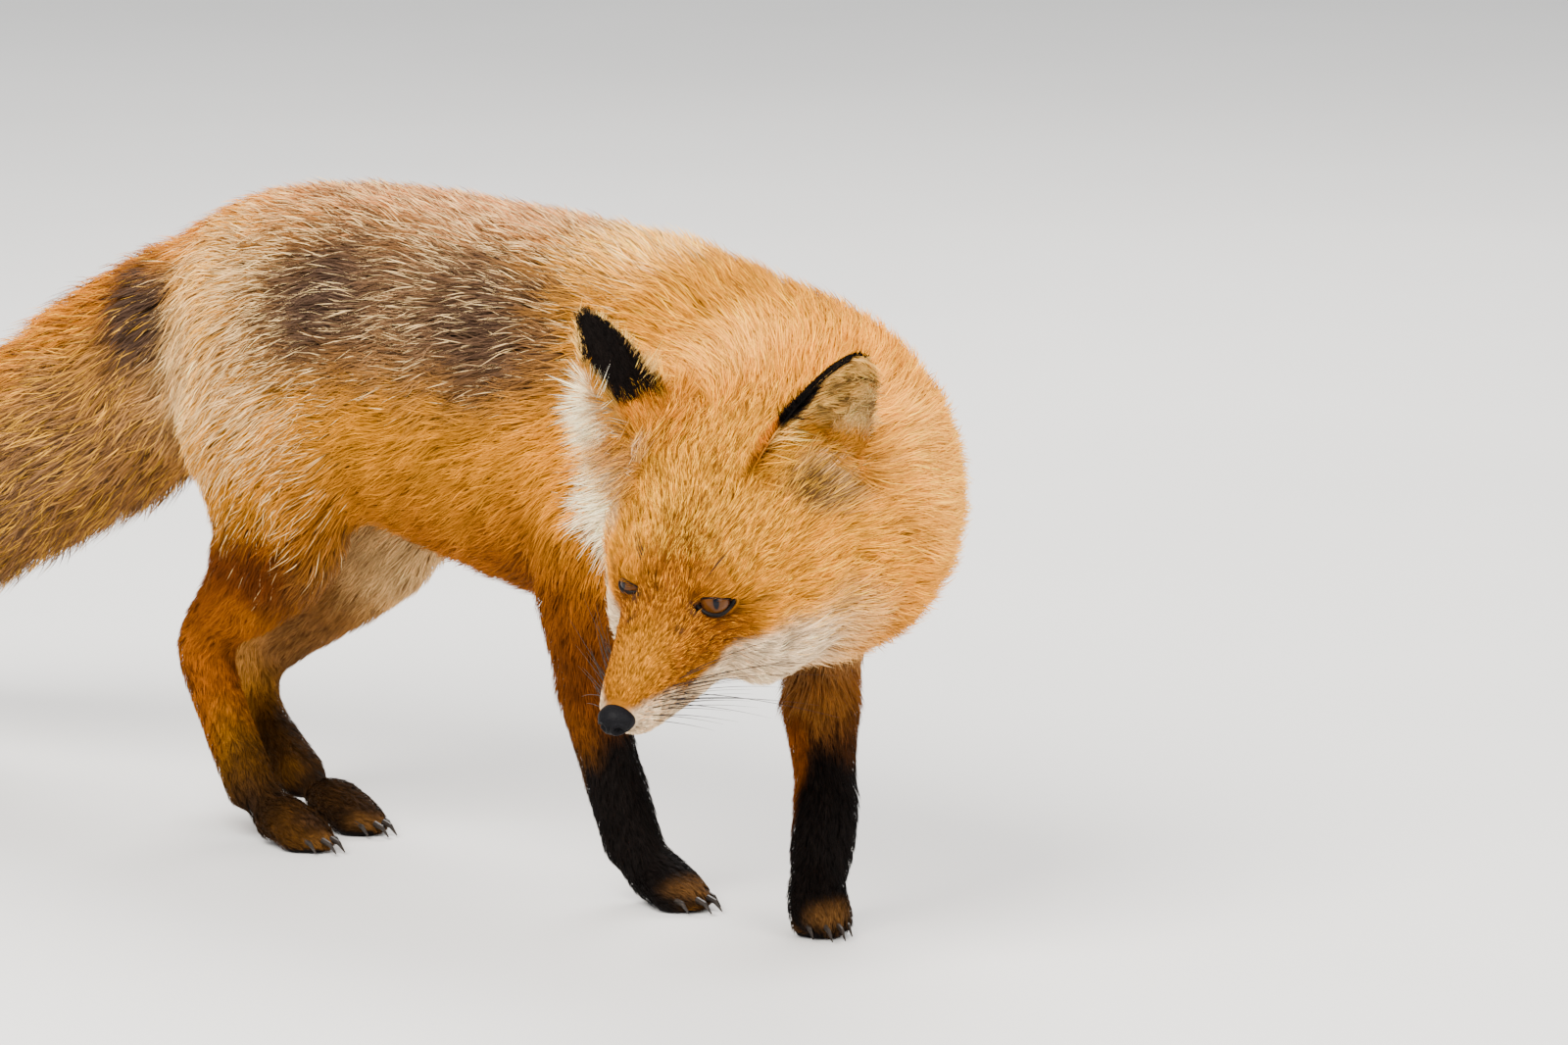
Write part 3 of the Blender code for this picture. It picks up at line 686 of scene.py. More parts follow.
# ------------------------------------------------------------------ markings
class Tone(Enum):
    """Colours of the coat, as linear red, green and blue. One orange among them is orange fur darkened as
    painted shade.
    """

    GOLD = (0.430, 0.158, 0.003)
    PALE_GOLD = (0.830, 0.295, 0.002)
    AMBER = (0.560, 0.165, 0.003)
    ORANGE = (0.225, 0.058, 0.002)
    # Orange fur darkened as painted shade, for the leg tops, the low thighs and under the chest
    DEEP_ORANGE = (0.085, 0.020, 0.0015)
    RUST = (0.145, 0.036, 0.002)
    FACE = (0.190, 0.054, 0.002)
    TAN = (0.360, 0.155, 0.035)
    RED_TAN = (0.580, 0.215, 0.065)
    BUFF = (0.940, 0.440, 0.060)
    STRAW = (0.880, 0.420, 0.022)
    CREAM = (0.900, 0.600, 0.260)
    IVORY = (0.960, 0.780, 0.480)
    WHITE = (0.730, 0.530, 0.320)
    UMBER = (0.075, 0.026, 0.005)
    GREY_TAN = (0.130, 0.072, 0.040)
    GREY_BROWN = (0.060, 0.033, 0.020)
    DARK_BROWN = (0.035, 0.018, 0.011)
    BLACK = (0.0045, 0.003, 0.0025)

    @property
    def rgb(self) -> np.ndarray:
        """Give the colour as an array."""
        return np.array(self.value)


@dataclass(frozen=True)
class Mark:
    """A soft-edged ellipsoid of colour.

    Attributes:
        tone: Its colour.
        axes: The axes it is laid out in.
        place: Its middle in those axes.
        radii: Its half sizes along them.
        strength: Share of the colour at its middle.
        soft: Share of the radius over which the edge fades.
        sides: 0 for both sides of the body alike, 1 for the left, -1 for the right.
        wander: Share of the radii by which its edge wanders.
        grain: Distance between the edge's waves.
    """

    tone: Tone
    axes: Axes
    place: tuple
    radii: tuple
    strength: float = 1.0
    soft: float = 0.35
    sides: int = 0
    wander: float = 0.10
    grain: float = 0.03

    def share(self, places: np.ndarray) -> np.ndarray:
        """Tell how much of the mark's colour each place takes."""
        local = self.axes.read(places)
        waves = np.stack([ripple(places, self.grain, 5 + k) for k in range(3)], axis=1)
        local = local + self.wander * waves * self.radii
        if self.sides == 0 and self.place[1] > 0:
            local[:, 1] = np.abs(local[:, 1])
        elif self.sides < 0:
            local[:, 1] = -local[:, 1]
        reach = np.linalg.norm((local - np.array(self.place)) / np.array(self.radii), axis=1)
        return self.strength * (1.0 - ramp(reach, 1.0 - self.soft, 1.0 + self.soft))


HEAD_MARKS = (
    Mark(Tone.PALE_GOLD, HEAD, (-0.135, 0.0, 0.030), (0.075, 0.075, 0.060), 0.35, 0.5),
    Mark(Tone.PALE_GOLD, HEAD, (-0.135, 0.055, -0.005), (0.050, 0.030, 0.030), 0.70, 0.5),
    Mark(Tone.FACE, HEAD, (-0.050, 0.0, 0.012), (0.055, 0.036, 0.030), 0.95, 0.40),
    Mark(Tone.GOLD, HEAD, (-0.026, 0.0, 0.014), (0.028, 0.014, 0.012), 0.85, 0.6),
    Mark(Tone.RUST, HEAD, (-0.074, 0.024, 0.008), (0.026, 0.014, 0.012), 0.75, 0.5),
    Mark(Tone.RUST, HEAD, (-0.086, 0.0, 0.038), (0.026, 0.018, 0.018), 0.80, 0.7),
    Mark(Tone.CREAM, HEAD, (-0.120, 0.052, -0.020), (0.036, 0.030, 0.022), 0.45, 0.5),
    Mark(Tone.WHITE, HEAD, (-0.098, 0.042, -0.032), (0.034, 0.030, 0.026), 0.95, 0.4),
    Mark(Tone.WHITE, HEAD, (-0.084, 0.034, -0.014), (0.019, 0.018, 0.0125), 1.0, 0.3),
    Mark(Tone.WHITE, HEAD, (-0.055, 0.019, -0.020), (0.028, 0.012, 0.0100), 1.0, 0.3),
    Mark(Tone.WHITE, HEAD, (-0.018, 0.013, -0.0090), (0.022, 0.012, 0.0090), 1.0, 0.3),
    Mark(Tone.WHITE, HEAD, (-0.008, 0.005, -0.0120), (0.012, 0.012, 0.0100), 1.0, 0.3),
    Mark(Tone.WHITE, HEAD, (-0.040, 0.0, -0.030), (0.050, 0.022, 0.014), 1.0, 0.3),
    Mark(Tone.WHITE, HEAD, (-0.110, 0.0, -0.046), (0.060, 0.040, 0.024), 0.9, 0.4),
    Mark(Tone.DARK_BROWN, HEAD, (-0.066, 0.0150, 0.0205), (0.0050, 0.0034, 0.0040), 0.85, 0.5),
    Mark(Tone.DARK_BROWN, HEAD, (-0.052, 0.0130, 0.0170), (0.0032, 0.0022, 0.0024), 0.75, 0.5),
    Mark(Tone.DARK_BROWN, HEAD, (-0.090, 0.0380, 0.0165), (0.0080, 0.0060, 0.0022), 0.55, 0.5),
    Mark(Tone.CREAM, HEAD, (-0.152, 0.044, 0.046), (0.018, 0.016, 0.014), 0.55, 0.6, 1),
    Mark(Tone.DARK_BROWN, HEAD, (-0.142, 0.040, 0.046), (0.010, 0.009, 0.006), 0.85, 0.5, 1),
    Mark(Tone.GREY_BROWN, HEAD, (-0.146, 0.052, 0.038), (0.012, 0.009, 0.006), 0.70, 0.6, 1),
    Mark(Tone.AMBER, HEAD, (-0.150, 0.040, 0.068), (0.018, 0.014, 0.018), 0.70, 0.6, -1),
    Mark(Tone.IVORY, HEAD, (-0.120, 0.060, 0.040), (0.022, 0.016, 0.028), 0.90, 0.5, -1),
)
NECK_MARKS = (
    Mark(Tone.PALE_GOLD, BODY, (0.215, 0.010, 0.250), (0.090, 0.095, 0.090), 0.85, 0.5),
    Mark(Tone.GOLD, BODY, (0.160, 0.010, 0.345), (0.085, 0.080, 0.045), 0.85, 0.5),
    Mark(Tone.BUFF, BODY, (0.214, -0.050, 0.300), (0.022, 0.024, 0.020), 0.75, 0.6),
    Mark(Tone.BUFF, BODY, (0.290, 0.020, 0.250), (0.030, 0.040, 0.050), 0.65, 0.6),
    Mark(Tone.CREAM, BODY, (0.235, -0.055, 0.150), (0.055, 0.070, 0.034), 0.45, 0.5),
    Mark(Tone.CREAM, BODY, (0.195, -0.005, 0.160), (0.050, 0.045, 0.030), 0.6, 0.6),
    Mark(Tone.IVORY, BODY, (0.151, 0.068, 0.238), (0.020, 0.032, 0.030), 1.0, 0.25, -1),
    Mark(Tone.CREAM, BODY, (0.144, 0.068, 0.268), (0.014, 0.030, 0.018), 0.8, 0.4, -1),
    Mark(Tone.BUFF, BODY, (0.115, 0.006, 0.344), (0.036, 0.036, 0.024), 0.9, 0.6),
)
BODY_MARKS = (
    Mark(Tone.ORANGE, BODY, (0.080, 0.0, 0.160), (0.240, 0.120, 0.070), 0.95, 0.6),
    Mark(Tone.PALE_GOLD, BODY, (0.115, 0.060, 0.285), (0.050, 0.050, 0.050), 0.60, 0.6),
    Mark(Tone.RED_TAN, BODY, (-0.040, 0.0, 0.372), (0.230, 0.066, 0.040), 0.85, 0.5),
    Mark(Tone.GREY_TAN, BODY, (-0.015, 0.060, 0.318), (0.130, 0.036, 0.042), 0.85, 0.6),
    Mark(Tone.TAN, BODY, (-0.130, 0.062, 0.265), (0.060, 0.040, 0.075), 0.20, 0.6),
    Mark(Tone.BUFF, BODY, (-0.205, 0.045, 0.285), (0.036, 0.050, 0.085), 1.0, 0.5),
    Mark(Tone.CREAM, BODY, (-0.222, 0.040, 0.240), (0.032, 0.045, 0.060), 0.70, 0.6),
    Mark(Tone.GOLD, BODY, (-0.175, 0.060, 0.198), (0.050, 0.050, 0.028), 0.80, 0.6),
    # Painted shade: the low thigh on the right side, in the darkened orange
    Mark(Tone.DEEP_ORANGE, BODY, (-0.145, 0.060, 0.164), (0.070, 0.050, 0.030), 1.0, 0.6, -1),
    Mark(Tone.TAN, BODY, (-0.105, 0.020, 0.165), (0.060, 0.035, 0.035), 0.75, 0.5),
    # Painted shade: the low sides of the chest by the elbows, in the darkened orange
    Mark(Tone.DEEP_ORANGE, BODY, (0.100, 0.062, 0.160), (0.070, 0.050, 0.044), 0.70, 0.6),
    Mark(Tone.CREAM, BODY, (-0.130, 0.034, 0.158), (0.045, 0.030, 0.036), 0.55, 0.8, 1),
)
TAIL_MARKS = (
    Mark(Tone.TAN, TAIL, (0.140, 0.0, -0.010), (0.260, 0.090, 0.060), 0.85, 0.5),
    Mark(Tone.GREY_TAN, TAIL, (0.180, 0.030, -0.020), (0.160, 0.070, 0.045), 0.70, 0.6),
    Mark(Tone.AMBER, TAIL, (0.060, 0.0, 0.062), (0.250, 0.055, 0.034), 0.90, 0.5),
    Mark(Tone.GOLD, TAIL, (0.120, 0.0, -0.070), (0.200, 0.070, 0.034), 0.70, 0.6),
    Mark(Tone.DARK_BROWN, TAIL, (0.250, 0.0, 0.0), (0.050, 0.090, 0.080), 0.45, 0.7),
    Mark(Tone.WHITE, TAIL, (0.385, 0.0, 0.0), (0.090, 0.090, 0.090), 1.0, 0.12),
)
LEG_MARKS = (
    # Painted shade: the tops of the forelegs under the chest, in the darkened orange
    Mark(Tone.DEEP_ORANGE, BODY, (0.150, 0.0, 0.115), (0.110, 0.120, 0.045), 0.9, 0.5),
    Mark(Tone.TAN, BODY, (0.202, 0.020, 0.118), (0.009, 0.014, 0.030), 0.4, 0.6, 1),
    Mark(Tone.BLACK, BODY, (0.110, 0.022, 0.043), (0.046, 0.056, 0.074), 1.0, 0.28, -1),
    Mark(Tone.BLACK, BODY, (0.222, 0.015, 0.043), (0.044, 0.060, 0.072), 1.0, 0.28, 1),
    Mark(Tone.ORANGE, BODY, (0.187, 0.002, 0.084), (0.012, 0.016, 0.052), 0.95, 0.4, 1),
    Mark(Tone.ORANGE, BODY, (-0.185, 0.046, 0.120), (0.050, 0.030, 0.045), 0.9, 0.4, -1),
    Mark(Tone.ORANGE, BODY, (-0.212, 0.046, 0.075), (0.024, 0.030, 0.050), 0.9, 0.4, -1),
    # Painted shade: the top of the right hind leg, in the darkened orange
    Mark(Tone.DEEP_ORANGE, BODY, (-0.195, 0.050, 0.140), (0.030, 0.030, 0.026), 0.6, 0.6, -1),
    Mark(Tone.DARK_BROWN, BODY, (-0.222, 0.052, 0.122), (0.009, 0.012, 0.010), 0.75, 0.6, -1),
    Mark(Tone.GREY_TAN, BODY, (-0.205, 0.026, 0.108), (0.050, 0.030, 0.040), 0.65, 0.6, 1),
    Mark(Tone.TAN, BODY, (-0.250, 0.022, 0.075), (0.018, 0.030, 0.040), 0.6, 0.5, 1),
    Mark(Tone.BLACK, BODY, (-0.172, 0.046, 0.040), (0.026, 0.028, 0.040), 0.85, 0.6, -1),
    Mark(Tone.BLACK, BODY, (-0.206, 0.014, 0.044), (0.028, 0.028, 0.042), 0.90, 0.5, 1),
    Mark(Tone.BLACK, BODY, (-0.140, 0.046, 0.010), (0.060, 0.036, 0.030), 0.90, 0.4, -1),
    Mark(Tone.BLACK, BODY, (-0.160, 0.008, 0.010), (0.060, 0.036, 0.032), 0.95, 0.35, 1),
    Mark(Tone.DARK_BROWN, BODY, (-0.118, 0.045, 0.020), (0.016, 0.020, 0.006), 0.75, 0.7, -1),
    Mark(Tone.TAN, BODY, (-0.112, 0.045, 0.009), (0.012, 0.018, 0.004), 0.28, 0.8, -1),
    Mark(Tone.TAN, BODY, (-0.128, -0.004, 0.009), (0.012, 0.018, 0.004), 0.28, 0.8, 1),
    Mark(Tone.TAN, BODY, (0.134, 0.006, 0.014), (0.012, 0.020, 0.005), 0.28, 0.8, -1),
    Mark(Tone.TAN, BODY, (0.236, -0.010, 0.015), (0.010, 0.026, 0.006), 0.28, 0.8, 1),
)
PATCHES = (
    Mark(Tone.GREY_BROWN, BODY, (0.060, 0.060, 0.306), (0.056, 0.034, 0.034), 0.90, 0.75),
    Mark(Tone.GREY_BROWN, BODY, (-0.080, 0.058, 0.312), (0.044, 0.034, 0.034), 1.0, 0.75),
    Mark(Tone.GREY_BROWN, TAIL, (-0.002, 0.036, 0.031), (0.032, 0.032, 0.028), 1.0, 0.5),
)
GRIZZLE = (
    (Mark(Tone.CREAM, BODY, (-0.020, 0.0, 0.355), (0.190, 0.080, 0.040), 0.60, 0.5), 0.42, Tone.DARK_BROWN),
    (Mark(Tone.CREAM, BODY, (-0.010, 0.0, 0.320), (0.150, 0.100, 0.050), 0.50, 0.5), 0.60, Tone.DARK_BROWN),
    (Mark(Tone.CREAM, BODY, (-0.165, 0.055, 0.290), (0.08, 0.05, 0.09), 0.65, 0.6), 0.20, Tone.GREY_BROWN),
    (Mark(Tone.STRAW, HEAD, (-0.130, 0.0, 0.050), (0.056, 0.060, 0.036), 0.88, 0.6), 0.45, Tone.UMBER),
    (Mark(Tone.STRAW, HEAD, (-0.135, 0.052, 0.010), (0.036, 0.028, 0.028), 0.60, 0.6), 0.28, Tone.UMBER),
    (Mark(Tone.PALE_GOLD, HEAD, (-0.055, 0.0, 0.015), (0.056, 0.034, 0.034), 0.50, 0.5), 0.55, Tone.UMBER),
    (Mark(Tone.STRAW, TAIL, (0.160, 0.0, 0.0), (0.210, 0.080, 0.080), 0.45, 0.5), 0.60, Tone.DARK_BROWN),
    (Mark(Tone.STRAW, BODY, (0.190, -0.010, 0.290), (0.070, 0.090, 0.070), 0.36, 0.5), 0.25, Tone.RUST),
)


def paint_marks(places: np.ndarray) -> np.ndarray:
    """Give the coat's main colour at each place."""
    colors = np.tile(Tone.GOLD.rgb, (len(places), 1))
    for mark in BODY_MARKS + TAIL_MARKS + PATCHES + NECK_MARKS + HEAD_MARKS + LEG_MARKS:
        colors = mix(colors, mark.tone.rgb, mark.share(places)[:, None])
    return colors


def grizzle_at(places: np.ndarray) -> tuple[np.ndarray, np.ndarray, np.ndarray, np.ndarray]:
    """Tell how much of the hair is banded, which share of that is dark, and both kinds' colours."""
    amount = np.zeros(len(places))
    dark = np.zeros(len(places))
    tips = np.tile(Tone.STRAW.rgb, (len(places), 1))
    night = np.tile(Tone.UMBER.rgb, (len(places), 1))
    for mark, dark_share, dark_tone in GRIZZLE:
        share = mark.share(places)
        more = share > amount
        dark = np.where(more, dark_share, dark)
        tips = np.where(more[:, None], mark.tone.rgb, tips)
        night = np.where(more[:, None], dark_tone.rgb, night)
        amount = np.maximum(amount, share)
    for mark in PATCHES:
        dark = mix(dark, 0.80, mark.share(places))
    return amount, dark, tips, night


@dataclass(frozen=True)
class Comb:
    """How the coat lies around one place.

    Attributes:
        axes: The axes that the place and the lie are given in.
        place: Where this holds.
        lie: The way the hair points.
        depth: How far the skin lies under the coat's surface, in millimetres.
        length: Length of the locks, in millimetres.
        width: Greatest width of the locks, in millimetres.
        crowd: Locks on a square centimetre.
        reach: How far around this counts, in metres.
        both: Whether the other side of the body has its mirror image.
    """

    axes: Axes
    place: tuple
    lie: tuple
    depth: float
    length: float
    width: float
    crowd: float
    reach: float = 0.03
    both: bool = False

    def sides(self) -> list:
        """List the comb and its mirror image as (place, lie) in the model's frame."""
        found = [(self.axes.place(*self.place), self.axes.way(*self.lie))]
        if self.both:
            flip = np.array((1.0, -1.0, 1.0))
            place, lie = np.array(self.place) * flip, np.array(self.lie) * flip
            found.append((self.axes.place(*place), self.axes.way(*lie)))
        return found


COMBS = (
    # Muzzle, brow, cheeks and throat.
    Comb(HEAD, (-0.010, 0.0, 0.004), (-1.0, 0.0, 0.15), 0.8, 3.2, 0.28, 435, 0.014),
    Comb(HEAD, (-0.035, 0.0, 0.012), (-1.0, 0.0, 0.10), 1.2, 4.2, 0.30, 377, 0.018),
    Comb(HEAD, (-0.035, 0.016, -0.004), (-1.0, 0.25, -0.10), 1.3, 4.5, 0.30, 362, 0.018, True),
    Comb(HEAD, (-0.060, 0.0, 0.022), (-1.0, 0.0, 0.25), 1.6, 5.5, 0.32, 319, 0.018),
    Comb(HEAD, (-0.063, 0.022, 0.004), (-1.0, 0.30, -0.05), 1.6, 5.0, 0.32, 319, 0.018, True),
    Comb(HEAD, (-0.030, 0.0, -0.028), (-1.0, 0.0, 0.0), 1.4, 5.0, 0.33, 261, 0.018),
    Comb(HEAD, (-0.055, 0.014, -0.026), (-1.0, 0.20, -0.15), 2.0, 8.0, 0.36, 232, 0.020, True),
    Comb(HEAD, (-0.087, 0.0, 0.036), (-0.85, 0.0, 0.60), 2.2, 7.5, 0.34, 276, 0.020),
    Comb(HEAD, (-0.092, 0.024, 0.034), (-0.80, 0.45, 0.45), 2.4, 8.0, 0.34, 261, 0.018, True),
    Comb(HEAD, (-0.098, 0.042, 0.020), (-0.85, 0.55, 0.15), 2.8, 9.5, 0.36, 232, 0.020, True),
    Comb(HEAD, (-0.090, 0.040, 0.000), (-0.90, 0.45, -0.10), 2.6, 9.0, 0.36, 232, 0.020, True),
    Comb(HEAD, (-0.115, 0.0, 0.052), (-0.85, 0.0, 0.50), 3.5, 11.0, 0.38, 218, 0.025),
    Comb(HEAD, (-0.120, 0.030, 0.048), (-0.85, 0.35, 0.40), 3.8, 11.5, 0.38, 209, 0.022, True),
    Comb(HEAD, (-0.150, 0.0, 0.058), (-1.0, 0.0, 0.20), 5.0, 15.0, 0.43, 160, 0.030),
    Comb(HEAD, (-0.125, 0.062, 0.012), (-0.85, 0.50, 0.05), 7.0, 18.0, 0.45, 139, 0.025, True),
    Comb(HEAD, (-0.112, 0.058, -0.022), (-0.85, 0.50, -0.30), 8.0, 21.0, 0.46, 133, 0.025, True),
    Comb(HEAD, (-0.090, 0.034, -0.034), (-0.95, 0.25, -0.30), 4.5, 15.0, 0.41, 162, 0.020, True),
    Comb(HEAD, (-0.110, 0.020, -0.052), (-0.90, 0.15, -0.40), 9.0, 22.0, 0.49, 122, 0.025, True),
    Comb(HEAD, (-0.160, 0.060, 0.000), (-0.90, 0.50, -0.15), 10.0, 27.0, 0.56, 110, 0.030, True),
    Comb(HEAD, (-0.165, 0.020, -0.050), (-0.85, 0.10, -0.50), 12.0, 30.0, 0.59, 99, 0.035, True),
    # Neck, from the head back into the trunk.
    Comb(BODY, (0.240, -0.080, 0.224), (-0.03, 0.98, 0.12), 13.0, 32.0, 0.59, 102, 0.045),
    Comb(BODY, (0.236, -0.035, 0.232), (-0.35, 0.92, 0.10), 17.0, 38.0, 0.62, 96, 0.045),
    Comb(BODY, (0.205, -0.002, 0.245), (-0.85, 0.50, 0.05), 18.0, 40.0, 0.65, 90, 0.050),
    Comb(BODY, (0.230, 0.0, 0.160), (-0.60, 0.50, -0.70), 15.0, 38.0, 0.62, 90, 0.040),
    Comb(BODY, (0.285, -0.020, 0.220), (0.00, 0.95, -0.25), 17.0, 38.0, 0.62, 90, 0.040),
    # Back, flanks and belly.
    Comb(BODY, (0.150, 0.0, 0.330), (-1.0, 0.10, -0.05), 16.0, 36.0, 0.73, 50, 0.060),
    Comb(BODY, (0.060, 0.0, 0.360), (-1.0, 0.0, -0.02), 13.0, 31.0, 0.70, 52, 0.060),
    Comb(BODY, (-0.060, 0.0, 0.365), (-1.0, 0.0, -0.05), 13.0, 31.0, 0.70, 52, 0.060),
    Comb(BODY, (-0.160, 0.0, 0.360), (-1.0, 0.0, -0.20), 13.0, 32.0, 0.70, 52, 0.060),
    Comb(BODY, (0.120, 0.080, 0.270), (-0.95, 0.05, -0.40), 13.0, 31.0, 0.70, 52, 0.055, True),
    Comb(BODY, (0.040, 0.082, 0.290), (-1.0, 0.0, -0.25), 12.0, 29.0, 0.70, 52, 0.055, True),
    Comb(BODY, (0.030, 0.080, 0.220), (-0.90, 0.0, -0.50), 12.0, 30.0, 0.70, 52, 0.050, True),
    Comb(BODY, (-0.060, 0.078, 0.280), (-1.0, 0.0, -0.30), 12.0, 29.0, 0.70, 52, 0.055, True),
    Comb(BODY, (-0.060, 0.072, 0.210), (-0.85, 0.0, -0.50), 11.0, 28.0, 0.70, 52, 0.045, True),
    Comb(BODY, (-0.150, 0.078, 0.260), (-0.75, 0.0, -0.70), 11.0, 28.0, 0.70, 52, 0.050, True),
    Comb(BODY, (-0.225, 0.045, 0.280), (-0.60, 0.0, -0.85), 13.0, 31.0, 0.70, 52, 0.045, True),
    Comb(BODY, (0.040, 0.0, 0.155), (-1.0, 0.0, -0.15), 11.0, 28.0, 0.70, 48, 0.045),
    Comb(BODY, (-0.080, 0.0, 0.180), (-1.0, 0.0, -0.05), 8.0, 24.0, 0.66, 52, 0.045),
    Comb(BODY, (0.150, 0.0, 0.165), (-0.70, 0.0, -0.70), 12.0, 30.0, 0.70, 52, 0.045),
    # Thighs and upper arms.
    Comb(BODY, (-0.150, 0.070, 0.195), (-0.50, 0.0, -0.90), 7.0, 21.0, 0.61, 67, 0.035, True),
    Comb(BODY, (-0.215, 0.045, 0.210), (-0.30, 0.0, -0.95), 8.0, 23.0, 0.65, 63, 0.030, True),
    Comb(BODY, (-0.165, 0.046, 0.160), (-0.55, 0.0, -0.85), 5.0, 15.0, 0.54, 78, 0.030, True),
    Comb(BODY, (0.120, 0.062, 0.195), (-0.25, 0.0, -1.0), 7.5, 20.0, 0.61, 67, 0.035, True),
    Comb(BODY, (0.105, -0.054, 0.160), (-0.15, 0.05, -1.0), 4.5, 14.0, 0.54, 81, 0.030),
    Comb(BODY, (0.185, 0.040, 0.160), (0.10, -0.10, -1.0), 4.5, 14.0, 0.54, 81, 0.030),
    # Legs, from the elbow or knee to the toes.
    Comb(BODY, (0.091, -0.035, 0.100), (0.0, 0.25, -1.0), 2.6, 9.5, 0.48, 111, 0.028),
    Comb(BODY, (0.092, -0.020, 0.050), (0.05, 0.15, -1.0), 2.2, 8.0, 0.44, 122, 0.024),
    Comb(BODY, (0.125, -0.008, 0.008), (0.95, 0.05, -0.25), 1.6, 5.5, 0.41, 157, 0.024),
    Comb(BODY, (0.198, 0.024, 0.100), (0.15, -0.15, -1.0), 2.6, 9.5, 0.48, 111, 0.028),
    Comb(BODY, (0.209, 0.012, 0.050), (0.10, -0.10, -1.0), 2.2, 8.0, 0.44, 122, 0.024),
    Comb(BODY, (0.232, -0.008, 0.008), (0.80, -0.40, -0.45), 1.6, 5.5, 0.41, 157, 0.022),
    Comb(BODY, (-0.195, -0.049, 0.125), (-0.75, 0.0, -0.70), 3.0, 10.0, 0.48, 107, 0.024),
    Comb(BODY, (-0.203, -0.046, 0.080), (0.30, 0.0, -0.95), 2.2, 8.0, 0.44, 118, 0.026),
    Comb(BODY, (-0.178, -0.045, 0.035), (0.50, 0.0, -0.85), 1.9, 7.0, 0.43, 130, 0.022),
    Comb(BODY, (-0.130, -0.045, 0.008), (1.0, 0.0, -0.20), 1.6, 5.5, 0.41, 157, 0.026),
    Comb(BODY, (-0.210, 0.032, 0.122), (-0.80, -0.20, -0.60), 3.0, 10.0, 0.48, 107, 0.026),
    Comb(BODY, (-0.240, 0.018, 0.065), (0.40, -0.15, -0.90), 2.2, 8.0, 0.44, 118, 0.026),
    Comb(BODY, (-0.200, 0.008, 0.033), (0.80, -0.10, -0.60), 1.9, 7.0, 0.43, 130, 0.022),
    Comb(BODY, (-0.142, 0.006, 0.008), (1.0, 0.0, -0.20), 1.6, 5.5, 0.41, 157, 0.026),
    # Tail, from its root to its tip.
    Comb(TAIL, (0.000, 0.0, 0.0), (1.0, 0.0, -0.10), 15.0, 33.0, 0.73, 51, 0.050),
    Comb(TAIL, (0.100, 0.0, 0.0), (1.0, 0.0, 0.0), 21.0, 42.0, 0.80, 48, 0.055),
    Comb(TAIL, (0.200, 0.0, 0.0), (1.0, 0.0, 0.0), 22.0, 46.0, 0.80, 48, 0.055),
    Comb(TAIL, (0.290, 0.0, 0.0), (1.0, 0.0, 0.05), 17.0, 42.0, 0.77, 51, 0.045),
    Comb(TAIL, (0.370, 0.0, 0.0), (1.0, 0.0, 0.10), 8.0, 28.0, 0.70, 57, 0.030),
)


@dataclass
class Groom:
    """The coat's lie and sizes at a set of places, in metres."""

    lie: np.ndarray
    depth: np.ndarray
    length: np.ndarray
    width: np.ndarray
    crowd: np.ndarray

    @classmethod
    def at(cls, places: np.ndarray) -> "Groom":
        """Blend the combs at each place, nearer ones counting more."""
        rows = [(place, lie, comb) for comb in COMBS for place, lie in comb.sides()]
        weights = np.empty((len(places), len(rows)))
        for column, (place, _, comb) in enumerate(rows):
            away = ((places - place) ** 2).sum(axis=1) / comb.reach**2
            weights[:, column] = 1.0 / (away + 0.08) ** 2.5
        weights /= weights.sum(axis=1, keepdims=True)
        sizes = np.array([(c.depth, c.length, c.width, c.crowd) for _, _, c in rows])
        depth, length, width, crowd = (weights @ sizes).T
        lies = unit(weights @ np.array([lie for _, lie, _ in rows]))
        return cls(lies, depth * MM, length * MM, width * MM, crowd * 1e4)


